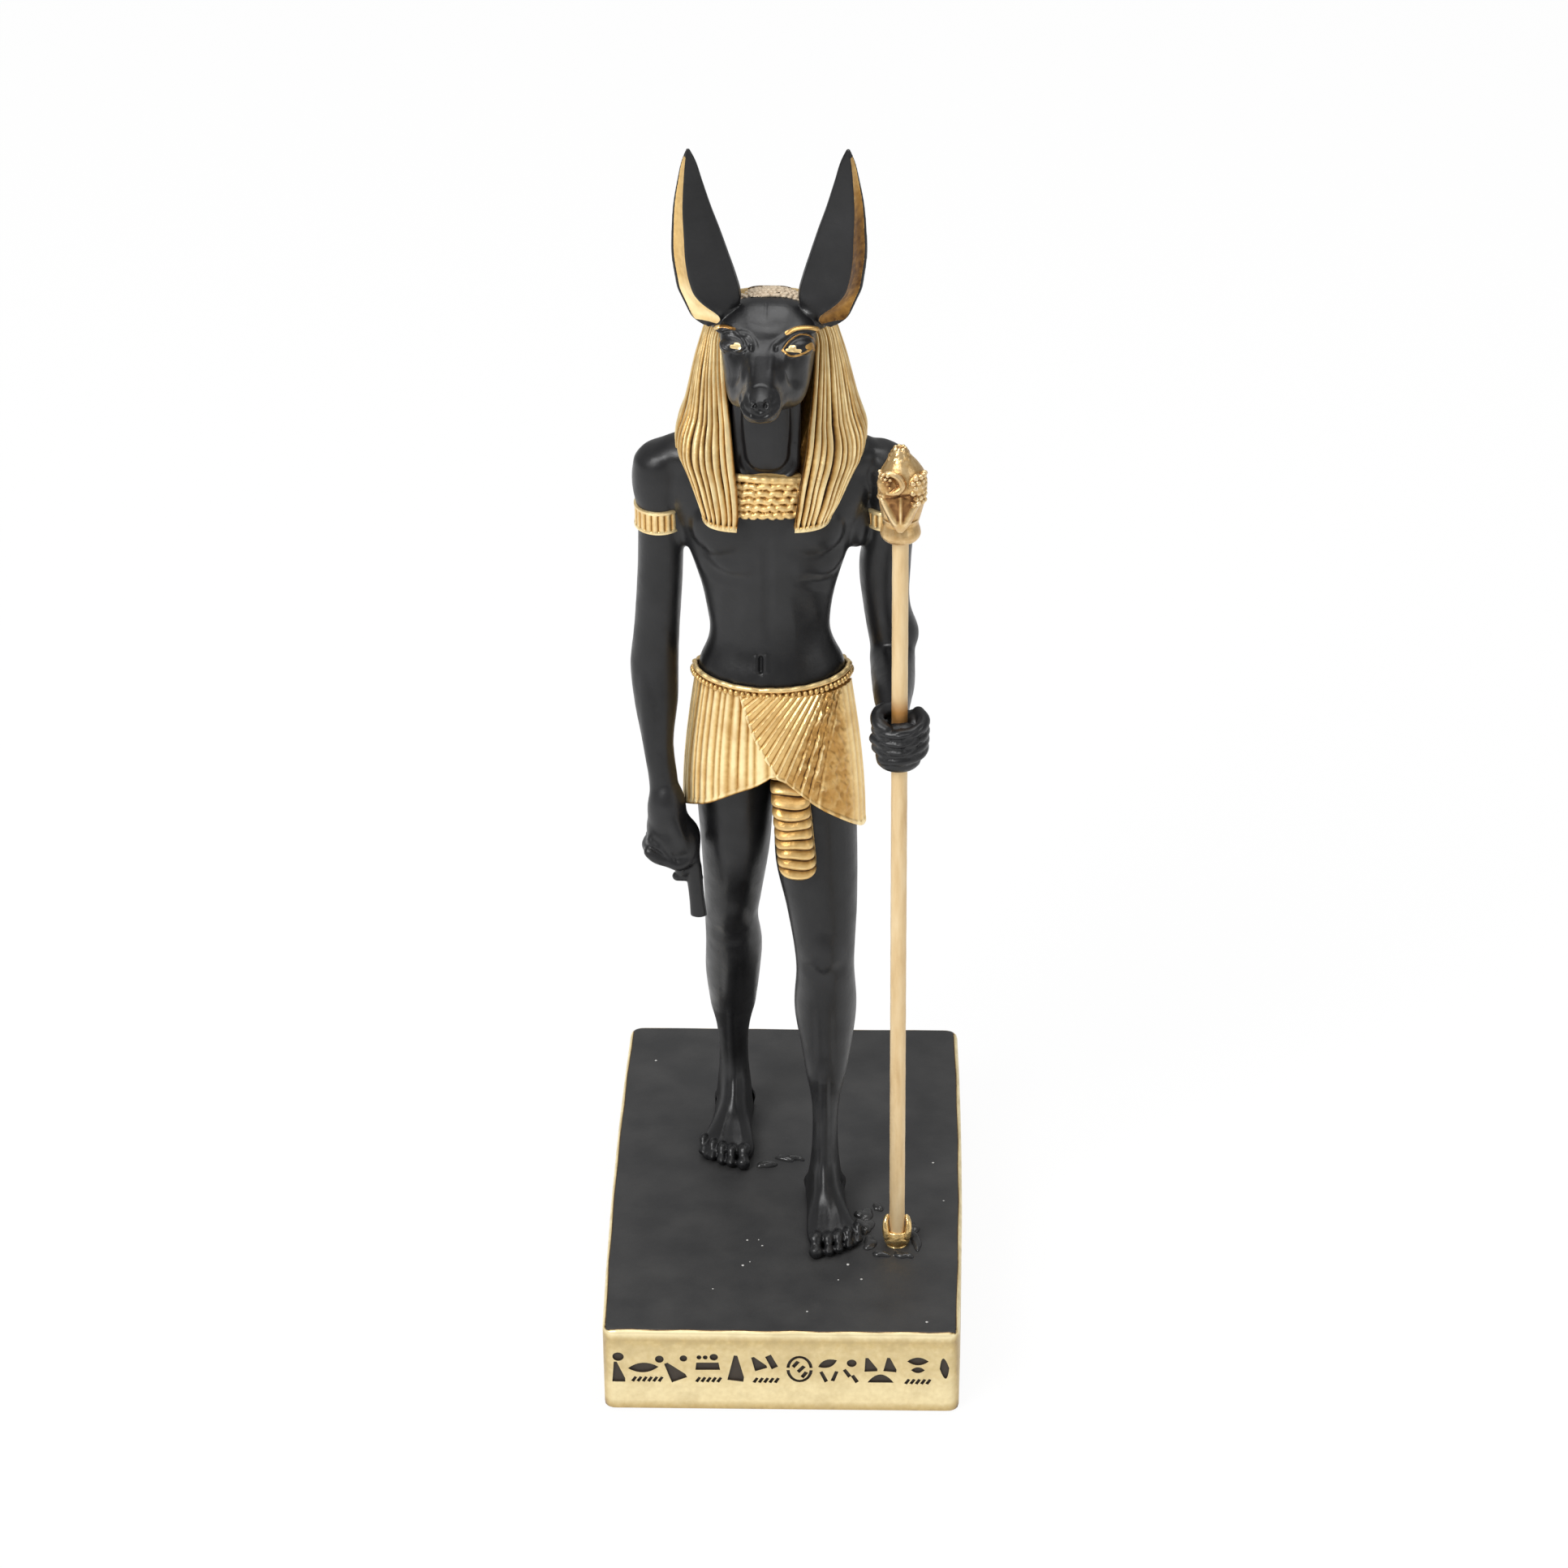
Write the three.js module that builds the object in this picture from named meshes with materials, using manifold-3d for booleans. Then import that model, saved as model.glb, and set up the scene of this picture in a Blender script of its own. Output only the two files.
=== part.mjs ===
// Jackal-headed standing figure with a staff, a small cast souvenir on an oblong plinth.
// Millimetres, +Z up. The origin is the middle of the plinth's underside and the front faces -Y.
import * as THREE from 'three';
import { mergeVertices } from 'three/addons/utils/BufferGeometryUtils.js';
import Module from 'manifold-3d';

const wasm = await Module();
wasm.setup();

// Overall and plinth
const totalHeight = 160;        // underside of the plinth to the ear tips
const plinthWidth = 45.8;       // between the corners of the front face
const plinthDepth = 71;
const plinthHeight = 12.5;
const plinthSideBow = 0.45;     // how far the long sides swell out between their corners
const plinthCornerRadius = 1.5;
const plinthEdgeBevel = 0.6;    // worn top edge

// Strokes in the strip on the front face
const stripHeight = 4.2;
const stripMargin = 1.2;        // bare metal left at both ends
const stripDrop = 5.1;          // top of the plinth to the middle of the strip
const strokeDepth = 0.3;
const strokeWidth = 0.45;
const strokeGroups = 12;

// Staff
const rodDiameter = 2;
const rodSides = 16;
const staffHeight = 117;        // top of the plinth to the top of the head
const fistClearance = 0.35;     // round the rod in the fist
const socketClearance = 0.35;   // round the rod in the staff's head and between the prongs
const socketDepth = 2.6;
const headHeight = 13.6;
const collarRadius = 2.4;
const collarHeight = 2.9;
const footWidth = 3.3;
const footDepth = 3;
const footHeight = 2.3;
const prongHeight = 2;
const prongDepth = 1.7;

// The figure is drawn in parts, this many to its height, measured up from its soles.
const partsInHeight = 147.5;
const figureHeight = totalHeight - plinthHeight;
const part = figureHeight / partsInHeight;

// Where the staff stands, and the fist that holds it
const staffX = 14.75 * part;
const staffY = -15.9 * part;
const fistMiddle = 75.9;

const limbSides = 10;
const seamEdge = 0.3;           // shorter edges along the figure's joins are closed up
const bodyAxis = -1.8;
const headAxis = -1.45;
const earAxis = -1.3;

const blackResin = new THREE.MeshStandardMaterial({ color: 0x1b1c1e, roughness: 0.42, metalness: 0.05 });
const plinthResin = new THREE.MeshStandardMaterial({ color: 0x222325, roughness: 0.55, metalness: 0.05 });
const paleGold = new THREE.MeshStandardMaterial({ color: 0xcdae78, roughness: 0.5, metalness: 0.6 });
const copperGold = new THREE.MeshStandardMaterial({ color: 0xb98a54, roughness: 0.4, metalness: 0.7 });
const brightGold = new THREE.MeshStandardMaterial({ color: 0xd2a24a, roughness: 0.3, metalness: 0.8 });

// Turns a closed three.js geometry into a Manifold solid.
function solid(geometry) {
  const bare = geometry.clone();
  for (const name of Object.keys(bare.attributes)) {
    if (name !== 'position') bare.deleteAttribute(name);
  }
  const merged = mergeVertices(bare, 1e-4);
  return new wasm.Manifold(new wasm.Mesh({
    numProp: 3,
    vertProperties: new Float32Array(merged.attributes.position.array),
    triVerts: new Uint32Array(merged.index.array),
  }));
}

function join(solids) {
  return solids.reduce((whole, next) => whole.add(next));
}

// Joins leave slivers along their seams: edges under shortestEdge are closed up where the skin stays
// closed and no facet turns over, and needle facets are turned against their neighbour.
function withoutSlivers(corners, triangles, shortestEdge) {
  const thinnestFacet = 0.01;
  const facets = triangles.map((triangle) => [...triangle]);
  const around = corners.map(() => new Set());
  facets.forEach((facet, i) => facet.forEach((corner) => around[corner].add(i)));
  const neighbours = (corner) => {
    const found = new Set();
    for (const i of around[corner]) for (const other of facets[i]) if (other !== corner) found.add(other);
    return found;
  };
  const normal = (facet) => new THREE.Triangle(...facet.map((corner) => corners[corner])).getNormal(
    new THREE.Vector3());
  const shared = (a, b) => [...around[a]].filter((i) => around[b].has(i));
  const closeUp = (keep, drop) => {
    const both = shared(keep, drop);
    const common = [...neighbours(drop)].filter((corner) => neighbours(keep).has(corner));
    if (both.length !== 2 || common.length !== 2) return false;
    const moved = [...around[drop]].filter((i) => !both.includes(i));
    for (const i of moved) {
      const after = facets[i].map((corner) => (corner === drop ? keep : corner));
      if (normal(facets[i]).dot(normal(after)) < 0.75) return false;
    }
    for (const i of both) {
      for (const corner of facets[i]) around[corner].delete(i);
      facets[i] = null;
    }
    for (const i of moved) {
      facets[i] = facets[i].map((corner) => (corner === drop ? keep : corner));
      around[keep].add(i);
    }
    around[drop].clear();
    return true;
  };
  const turnOver = (i) => {
    const facet = facets[i];
    const lengths = facet.map((corner, j) => corners[corner].distanceTo(corners[facet[(j + 1) % 3]]));
    const j = lengths.indexOf(Math.max(...lengths));
    const [a, b, c] = [facet[j], facet[(j + 1) % 3], facet[(j + 2) % 3]];
    const area = new THREE.Triangle(corners[a], corners[b], corners[c]).getArea();
    if (2 * area / lengths[j] > thinnestFacet) return false;
    const other = shared(a, b).find((k) => k !== i);
    const d = facets[other].find((corner) => corner !== a && corner !== b);
    if (neighbours(c).has(d)) return false;
    const facing = normal(facets[other]);
    const made = [[a, d, c], [d, b, c]];
    if (made.some((fresh) => normal(fresh).dot(facing) < 0.75)) return false;
    for (const corner of [a, b, d]) around[corner].delete(other);
    for (const corner of [a, b, c]) around[corner].delete(i);
    facets[i] = made[0];
    facets[other] = made[1];
    for (const k of [i, other]) for (const corner of facets[k]) around[corner].add(k);
    return true;
  };
  for (let pass = 0; pass < 4; pass++) {
    const edges = [];
    for (const facet of facets) {
      if (!facet) continue;
      facet.forEach((a, j) => {
        const b = facet[(j + 1) % 3];
        const length = corners[a].distanceTo(corners[b]);
        if (a < b && length < shortestEdge) edges.push([length, a, b]);
      });
    }
    edges.sort((first, second) => first[0] - second[0]);
    for (const [, a, b] of edges) {
      const [keep, drop] = corners[a].z <= corners[b].z ? [a, b] : [b, a];
      if (shared(keep, drop).length === 2 && !closeUp(keep, drop) && corners[keep].z > 0.01) closeUp(drop, keep);
    }
    facets.forEach((facet, i) => facet && turnOver(i));
  }
  return facets.filter((facet) => facet);
}

// Turns a Manifold solid back into a named mesh.
function mesh(name, body, material, shortestEdge = 0.1) {
  const result = body.getMesh();
  const corners = [];
  for (let i = 0; i < result.vertProperties.length; i += 3) {
    corners.push(new THREE.Vector3(...result.vertProperties.slice(i, i + 3)));
  }
  const triangles = [];
  for (let i = 0; i < result.triVerts.length; i += 3) triangles.push([...result.triVerts.slice(i, i + 3)]);
  const geometry = new THREE.BufferGeometry().setFromPoints(corners);
  geometry.setIndex(withoutSlivers(corners, triangles, shortestEdge).flat());
  geometry.computeVertexNormals();
  const made = new THREE.Mesh(geometry, material);
  made.name = name;
  return made;
}

// A closed skin over rings of equally many points, each ring counterclockwise round the way it runs.
function loft(rings) {
  const count = rings[0].length;
  const positions = [];
  const index = [];
  for (const ring of rings) {
    for (const point of ring) positions.push(point.x, point.y, point.z);
  }
  for (let i = 0; i < rings.length - 1; i++) {
    for (let j = 0; j < count; j++) {
      const a = i * count + j;
      const b = i * count + (j + 1) % count;
      index.push(a, b, b + count, a, b + count, a + count);
    }
  }
  for (const last of [false, true]) {
    const ring = rings[last ? rings.length - 1 : 0];
    const start = last ? (rings.length - 1) * count : 0;
    if (ring.every((point) => Math.abs(point.z - ring[0].z) < 1e-6)) {
      const upward = ring[0].z > rings[last ? 0 : rings.length - 1][0].z;
      for (const [a, b, c] of THREE.ShapeUtils.triangulateShape(ring.map(({ x, y }) => new THREE.Vector2(x, y)), [])) {
        const area = new THREE.Vector3().subVectors(ring[b], ring[a]).cross(
          new THREE.Vector3().subVectors(ring[c], ring[a])).z;
        if (area > 0 === upward) index.push(start + a, start + b, start + c);
        else index.push(start + a, start + c, start + b);
      }
      continue;
    }
    const middle = new THREE.Vector3();
    for (const point of ring) middle.addScaledVector(point, 1 / count);
    const centre = positions.length / 3;
    positions.push(middle.x, middle.y, middle.z);
    for (let j = 0; j < count; j++) {
      const a = start + j;
      const b = start + (j + 1) % count;
      if (last) index.push(centre, a, b);
      else index.push(centre, b, a);
    }
  }
  const geometry = new THREE.BufferGeometry();
  geometry.setAttribute('position', new THREE.Float32BufferAttribute(positions, 3));
  geometry.setIndex(index);
  return geometry;
}

// A limb through stations [x, y, z, half width, half depth], with oval sections square to its run.
function limb(stations, sides = limbSides) {
  const centres = stations.map(([x, y, z]) => new THREE.Vector3(x, y, z).multiplyScalar(part));
  const rings = stations.map(([, , , halfWidth, halfDepth], i) => {
    const before = centres[Math.max(i - 1, 0)];
    const after = centres[Math.min(i + 1, centres.length - 1)];
    const run = after.clone().sub(before).normalize();
    const side = new THREE.Vector3(1, 0, 0).addScaledVector(run, -run.x).normalize();
    const front = run.clone().cross(side);
    return Array.from({ length: sides }, (_, j) => {
      const turn = 2 * Math.PI * j / sides;
      return centres[i].clone()
        .addScaledVector(side, halfWidth * part * Math.cos(turn))
        .addScaledVector(front, halfDepth * part * Math.sin(turn));
    });
  });
  return solid(loft(rings));
}

// A rounded muscle, toe, finger or bead: middle, half sizes and turns in degrees.
function swell(x, y, z, halfX, halfY, halfZ, turnX = 0, turnZ = 0, rounds = 8) {
  const ball = new THREE.SphereGeometry(1, rounds, Math.ceil(rounds / 2) + 1);
  ball.scale(halfX * part, halfY * part, halfZ * part);
  ball.rotateX(THREE.MathUtils.degToRad(turnX));
  ball.rotateZ(THREE.MathUtils.degToRad(turnZ));
  ball.translate(x * part, y * part, z * part);
  return solid(ball);
}

function block(x, y, z, sizeX, sizeY, sizeZ, turnY = 0) {
  const box = new THREE.BoxGeometry(sizeX, sizeY, sizeZ);
  box.rotateY(THREE.MathUtils.degToRad(turnY));
  box.translate(x, y, z);
  return solid(box);
}

// Reads a value off a list of [place, value] pairs, straight between neighbours.
function along(pairs, place) {
  const last = pairs.length - 1;
  if (place <= pairs[0][0]) return pairs[0][1];
  for (let i = 0; i < last; i++) {
    const [from, low] = pairs[i];
    const [to, high] = pairs[i + 1];
    if (place <= to) return low + (high - low) * (place - from) / (to - from);
  }
  return pairs[last][1];
}

// Plinth: a block with bowed long sides, round corners and a worn top edge
function plinthRing(z, inset) {
  const radius = Math.max(plinthCornerRadius - inset, plinthCornerRadius / 8);
  const cornerX = plinthWidth / 2 - inset - radius;
  const cornerY = plinthDepth / 2 - inset - radius;
  const cornerSteps = 4;
  const sideSteps = 8;
  const points = [];
  for (const [signX, signY, from] of [[1, -1, -90], [1, 1, 0], [-1, 1, 90], [-1, -1, 180]]) {
    for (let i = 0; i <= cornerSteps; i++) {
      const turn = THREE.MathUtils.degToRad(from + 90 * i / cornerSteps);
      points.push(new THREE.Vector3(
        signX * cornerX + radius * Math.cos(turn),
        signY * cornerY + radius * Math.sin(turn), z));
    }
    if (signX !== -signY) continue;
    for (let i = 1; i < sideSteps; i++) {
      const share = 1 - 2 * i / sideSteps;
      const bow = plinthSideBow * (1 - share * share);
      points.push(new THREE.Vector3(signX * (cornerX + radius + bow), signY * cornerY * share, z));
    }
  }
  return points;
}

// One group of strokes in a cell of the strip: bars, bars on a foot, a wave or dots over a dash
function strokeGroup(index, cell) {
  const strokes = [];
  const place = (x, z, length, turn) => strokes.push([x * cell, z * stripHeight, length, turn]);
  const kind = index % 4;
  if (kind === 0) {
    place(-0.2, 0, stripHeight * 0.9, 0);
    place(0.18, 0.12, stripHeight * 0.62, 0);
  } else if (kind === 1) {
    place(0, 0.28, cell * 0.6, 90);
    place(0, 0, cell * 0.6, 90);
    place(0, -0.32, cell * 0.5, 90);
  } else if (kind === 2) {
    place(-0.16, 0.1, stripHeight * 0.75, 18);
    place(0.16, 0.1, stripHeight * 0.75, -18);
  } else {
    place(-0.22, 0.2, stripHeight * 0.42, 0);
    place(0.22, 0.2, stripHeight * 0.42, 0);
    place(0, -0.34, cell * 0.62, 90);
  }
  return strokes;
}

function makePlinth() {
  const rings = [
    plinthRing(0, 0),
    plinthRing(plinthHeight - plinthEdgeBevel, 0),
    plinthRing(plinthHeight, plinthEdgeBevel),
  ];
  let body = solid(loft(rings));
  const stripLength = plinthWidth - 2 * (plinthCornerRadius + stripMargin);
  const cell = stripLength / strokeGroups;
  const face = -plinthDepth / 2;
  for (let i = 0; i < strokeGroups; i++) {
    const middle = -stripLength / 2 + (i + 0.5) * cell;
    for (const [x, z, length, turn] of strokeGroup(i, cell)) {
      const cut = block(middle + x, face, plinthHeight - stripDrop + z, strokeWidth, 2 * strokeDepth, length, turn);
      body = body.subtract(cut);
    }
  }
  return mesh('plinth', body, plinthResin);
}

// Body: stations run down from the shoulders
const torso = [
  [bodyAxis, 3.6, 110.2, 6, 3], [bodyAxis, 3.6, 108.4, 11, 3.9], [bodyAxis, 3.5, 105.5, 13, 4.6],
  [bodyAxis, 3.2, 102.5, 12.9, 5.1], [bodyAxis, 3, 99, 12, 5.3], [bodyAxis, 3, 95.5, 10.8, 5.2],
  [bodyAxis, 3, 91, 9.3, 4.8], [bodyAxis, 3, 87.8, 8.4, 4.5], [bodyAxis, 3, 84.3, 7.8, 4.3],
  [-1.7, 3, 81.7, 7.6, 4.4], [-1.5, 3, 79, 8.2, 4.8], [-1.6, 3, 77.2, 9.4, 5.6],
  [-1.6, 3, 74, 9.6, 5.8],
];
const neck = [[-1.6, 4, 96, 4.4, 4], [-1.6, 2.6, 104, 4.4, 4.9], [-1.55, 2.2, 110, 4.1, 4.6],
  [-1.5, 1.8, 120, 4.6, 5]];
const rearLeg = [
  [-6.4, 3.6, 61, 5.3, 5.6], [-6.5, 4.5, 49.3, 4.5, 5.2], [-7, 6, 41, 3.8, 4.4], [-7.3, 7.1, 36.4, 3.5, 4],
  [-7.1, 8.2, 32.6, 3.7, 4], [-7.4, 11, 25.2, 3.6, 4.5], [-7.5, 12.5, 20.3, 3.15, 3.9],
  [-7.6, 13.8, 14.6, 2.5, 2.9], [-7.6, 14.5, 9.4, 2.3, 2.6], [-7.6, 14.9, 3.4, 2.7, 3.2],
  [-7.6, 15, -0.6, 2.7, 3.4],
];
const frontLeg = [
  [3.9, 1.2, 61, 5.6, 5.8], [4.1, 0, 49.4, 5.3, 5.3], [4.75, -1.2, 43.4, 4.6, 4.7],
  [5.2, -2.7, 35.4, 3.8, 4], [5.2, -1.8, 27.6, 4.05, 4.5], [5.3, -2.6, 22.2, 3.25, 3.7],
  [5.25, -3.9, 17.8, 2.5, 2.9], [5.2, -4.9, 13, 2.05, 2.45], [5.15, -5.4, 8, 2.1, 2.5],
  [5.1, -5.4, 3.4, 2.5, 3], [5.1, -5.2, -0.6, 2.6, 3.3],
];
const bandLift = 0.3;           // armband over the skin
const rightArm = [
  [-14, 4, 107.2, 1.5, 1.8], [-14.8, 4, 106.2, 2.8, 3], [-15.4, 4, 103.5, 3.3, 3.6], [-15.55, 4, 100.9, 3.15, 3.5],
  [-15.35, 4, 97.9, 2.75, 3.2], [-15.35, 4, 97.7, 2.75 + bandLift, 3.2 + bandLift],
  [-15.3, 4, 94.8, 2.75 + bandLift, 3.1 + bandLift], [-15.3, 4, 94.6, 2.85, 3.1],
  [-15.6, 4, 87.1, 2.9, 3], [-16.15, 4, 80.1, 2.95, 2.9], [-16.45, 3.9, 76.4, 3.1, 3], [-16.3, 2.9, 71.4, 2.85, 2.9],
  [-16.2, 1.6, 65.6, 2, 2.3], [-15.6, 0.8, 60.6, 1.9, 2.05], [-15, 0, 55, 2.3, 2.6], [-15, 0, 51.5, 2.1, 2.4],
];
const leftUpperArm = [
  [11.8, 4, 107.1, 1.5, 1.8], [12.5, 4, 106, 2.6, 3], [13.2, 4, 103.4, 3.2, 3.5], [13.5, 4.5, 100.8, 3.1, 3.4],
  [13.45, 4.9, 98.3, 3, 3.3], [13.45, 4.9, 98.1, 3 + bandLift, 3.3 + bandLift],
  [13.35, 5.1, 95.2, 3 + bandLift, 3.3 + bandLift], [13.35, 5.1, 95, 3, 3.3],
  [12.8, 5.8, 90.4, 3.3, 3.3], [13, 6.5, 83, 3, 3], [13.9, 6.6, 78.4, 3.2, 3.1],
  [13.7, 6.4, 76.5, 2.6, 2.7], [13.7, 6, 74.8, 1.5, 1.6],
];
const leftForearm = [
  [13.7, 8.2, 77.2, 1.7, 1.8], [13.7, 6.5, 76.8, 2.7, 2.7], [13.8, 3, 76, 2.85, 2.8], [13.9, -2, 76.1, 2.7, 2.6],
  [13.85, -6, 76.5, 2.4, 2.3], [13.9, -9, 76.6, 2.1, 2], [14, -12, 76, 2.05, 2.1], [14.4, -14.5, 75.2, 2, 2.6],
];

// Feet: stations run from heel to ball, and the sole is cut flat afterwards
const rearFoot = [[-7.6, 18.4, 1.2, 1.2, 1.4], [-7.6, 17.2, 1.6, 2.6, 2.8], [-7.6, 14, 2.2, 2.9, 4],
  [-7.8, 10, 1.7, 2.8, 3.4], [-8.1, 6.6, 1, 3.3, 2.4], [-8.2, 4.2, 0.7, 3.7, 1.7], [-8.3, 2.6, 0.6, 3.2, 1.1]];
const frontFoot = [[5.1, -1.6, 1.2, 1.2, 1.4], [5.1, -2.8, 1.6, 2.6, 2.8], [5.1, -6, 2.2, 2.9, 4],
  [5.5, -10, 1.7, 2.8, 3.4], [6, -13.4, 1, 3.2, 2.4], [6.4, -15.6, 0.7, 3.5, 1.7], [6.5, -17.2, 0.6, 3.1, 1.1]];

// Five toes from the big toe out; side is +1 where the small toe lies at +X
function toes(bigX, bigY, side) {
  const made = [];
  for (let i = 0; i < 5; i++) {
    const halfWidth = i === 0 ? 1 : 0.78 - 0.04 * i;
    const x = bigX + side * (i === 0 ? 0 : 0.35 + 1.36 * i);
    const y = bigY + 0.22 * i * i * 0.8 + 1.6;
    made.push(swell(x, y, 0.75, halfWidth, 2.1, halfWidth * 1.05, 0, side * 3 * (i - 1), 6));
  }
  return made;
}

// Head: stations run forward from the back of the skull to the nose
const head = [
  [headAxis, 8, 122, 3, 3], [headAxis, 5, 122, 6, 5.8], [headAxis, 1, 121.7, 6.5, 6.8],
  [headAxis, -2, 121.3, 6, 6.4], [-1.5, -4.5, 121.2, 5.3, 5.4], [-1.6, -6.5, 121, 4.2, 4.4],
  [-1.8, -9, 120.4, 3, 3.5], [-1.95, -11.5, 119.9, 2.5, 2.9], [-2, -13.2, 119.8, 2.2, 2.2],
  [-2.05, -14, 119.9, 1.3, 1.2],
];

// Ear stations [height, distance from the head's axis, half width, thickness, hollow]
const ear = [
  [123.8, 6.6, 1.6, 2.6, 0.2], [125.4, 7, 2.75, 2.8, 0.6], [127.2, 7, 3.6, 2.7, 1.2], [128.8, 7.35, 3.85, 2.6, 1.4],
  [130.5, 7.7, 3.8, 2.4, 1.4], [133.6, 8.35, 3.5, 2.1, 1.2], [136.8, 8.8, 2.95, 1.8, 1], [139.9, 9.2, 2.3, 1.5, 0.7],
  [143.1, 9.4, 1.55, 1.2, 0.4], [146.2, 9.5, 0.72, 0.8, 0.15], [147.5, 9.55, 0.14, 0.3, 0],
];
const earY = 1;

function makeEar(side) {
  const steps = 4;
  const rings = ear.map(([z, away, halfWidth, thickness, hollow]) => {
    const points = [];
    for (let j = 0; j <= steps; j++) {
      const across = -1 + 2 * j / steps;
      const curve = 1 - across * across;
      points.push([across, earY - thickness * 0.3 + hollow * curve]);
    }
    for (let j = steps; j >= 0; j--) {
      const across = -1 + 2 * j / steps;
      const curve = 1 - across * across;
      points.push([across, earY - thickness * 0.3 + 0.35 + thickness * 0.9 * curve]);
    }
    return points.map(([across, y]) => new THREE.Vector3(
      earAxis + side * away + across * halfWidth, y, z).multiplyScalar(part));
  });
  return solid(loft(rings));
}

// Headdress: horseshoe sections [height, axis, half width, front, back, half opening]
const wig = [
  [127.2, -1.4, 3.5, 3.6, 7.6, 1.6], [126.6, -1.4, 5.4, 2.2, 8.9, 3], [125, -1.4, 7, 1.3, 10.4, 4.6],
  [122.3, -1.35, 8.1, 0.3, 11.8, 5.4], [118, -1.35, 9.4, -1, 12.6, 5.3], [113, -1.3, 10.6, -2.2, 12.6, 4.8],
  [109.4, -1.3, 11.9, -3, 12.2, 4.2], [107.2, -1.4, 11.8, -3.6, 11.5, 3.9], [104.5, -1.5, 10.3, -4.3, 10.8, 3.6],
  [101.5, -1.6, 9, -4.8, 10.3, 3.4], [99.2, -1.9, 7.95, -5.1, 10, 3.25],
];
const wigStrands = 26;
const wigStrandDepth = 0.32;
const wigSquareness = 2.5;      // power of the oval, 2 for an ellipse
const wigHollow = 2.4;          // how deep the opening goes behind the lappets' front

function makeWig() {
  const innerSteps = 8;
  const outerSteps = wigStrands * 2;
  const rings = wig.map(([z, axis, halfWidth, front, back, opening]) => {
    const middle = (front + back) / 2;
    const halfDepth = (back - front) / 2;
    const power = wigSquareness;
    const from = Math.asin(opening / halfWidth);
    const points = [];
    for (let j = 0; j <= outerSteps; j++) {
      const turn = from + (2 * Math.PI - 2 * from) * j / outerSteps;
      const groove = j % 2 === 0 ? wigStrandDepth : 0;
      const sine = Math.sin(turn);
      const cosine = -Math.cos(turn);
      const reach = Math.pow(Math.pow(Math.abs(sine), power) + Math.pow(Math.abs(cosine), power), -1 / power);
      points.push([axis + sine * (reach * halfWidth - groove), middle + cosine * (reach * halfDepth - groove)]);
    }
    const [startX, startY] = points[0];
    const [endX] = points[outerSteps];
    for (let j = 0; j <= innerSteps; j++) {
      const turn = Math.PI * j / innerSteps;
      const x = (startX + endX) / 2 - Math.cos(turn) * (startX - endX) / 2;
      const depth = Math.min(halfDepth * 0.9, wigHollow);
      points.push([x, startY + wigHollow / 4 + depth * Math.sin(turn)]);
    }
    return points.map(([x, y]) => new THREE.Vector3(x, y, z).multiplyScalar(part));
  });
  return solid(loft(rings.reverse()));
}

// Kilt: fluted, with a wrap-over panel whose pleats run aslant, and a hem that rises in front
const kiltTop = 76.3;
const kiltAxis = [-1.6, 3];
const kiltFlutes = 40;
const fluteDepth = 0.34;
const hemHeights = [[0, 54.4], [45, 55], [90, 56], [135, 56], [180, 56], [225, 58.4], [250, 61],
  [276, 63.6], [300, 61.2], [322, 57.8], [342, 55.4], [360, 54.4]];
const waistHalfWidth = 10.1;
const waistHalfDepth = 6.5;
const hemSpread = [1.75, 1.5];  // how much wider and deeper the kilt is at its hem
const hemThickness = 1;
const panelEdge = [[0, 244], [1, 276]];
const panelEnd = 350;
const panelLift = 0.5;
const pleatSlant = 34;          // degrees that a pleat turns round the kilt between belt and hem

function kiltReach(turn, down) {
  const overlap = turn > along(panelEdge, down) && turn < panelEnd;
  const shifted = overlap ? turn + pleatSlant * down : turn;
  const wave = Math.cos(THREE.MathUtils.degToRad(shifted * kiltFlutes));
  return fluteDepth * 0.5 * (wave - 1) + (overlap ? panelLift : 0);
}

function makeKilt() {
  const sides = kiltFlutes * 2;
  const rows = 4;
  const belt = [[0.9, -0.2], [0.6, 0.3], [-0.9, 0.3], [-1.2, -0.1]];
  const rings = belt.map(([rise, lift]) => Array.from({ length: sides }, (_, j) => {
    const angle = 2 * Math.PI * (sides - j) / sides;
    return new THREE.Vector3(
      kiltAxis[0] + Math.cos(angle) * (waistHalfWidth + lift),
      kiltAxis[1] + Math.sin(angle) * (waistHalfDepth + lift), kiltTop + rise).multiplyScalar(part);
  }));
  for (let i = 1; i <= rows + 1; i++) {
    const under = i === rows + 1;
    const down = Math.min(i / rows, 1);
    const swellOut = Math.sin(down * Math.PI / 2);
    const halfWidth = waistHalfWidth + hemSpread[0] * swellOut;
    const halfDepth = waistHalfDepth + hemSpread[1] * swellOut;
    rings.push(Array.from({ length: sides }, (_, j) => {
      const turn = 360 * (sides - j) / sides;
      const angle = THREE.MathUtils.degToRad(turn);
      const reach = under ? -hemThickness : kiltReach(turn, down);
      const z = kiltTop + (along(hemHeights, turn) - kiltTop) * down + (under ? hemThickness * 0.8 : 0);
      return new THREE.Vector3(
        kiltAxis[0] + Math.cos(angle) * (halfWidth + reach),
        kiltAxis[1] + Math.sin(angle) * (halfDepth + reach), z).multiplyScalar(part);
    }));
  }
  return solid(loft(rings));
}

// Tab below the hem: a strip of rolled ribs
const tabTop = 66;
const tabBottom = 50.6;
const tabRibs = 9;
const tabAxis = 1.45;
const tabHalfWidth = 2.55;
const tabFront = -6.1;
const tabBack = -3.2;
const tabLean = 0.04;           // how far the tab leans forward over its drop
const ribDepth = 0.5;

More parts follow.
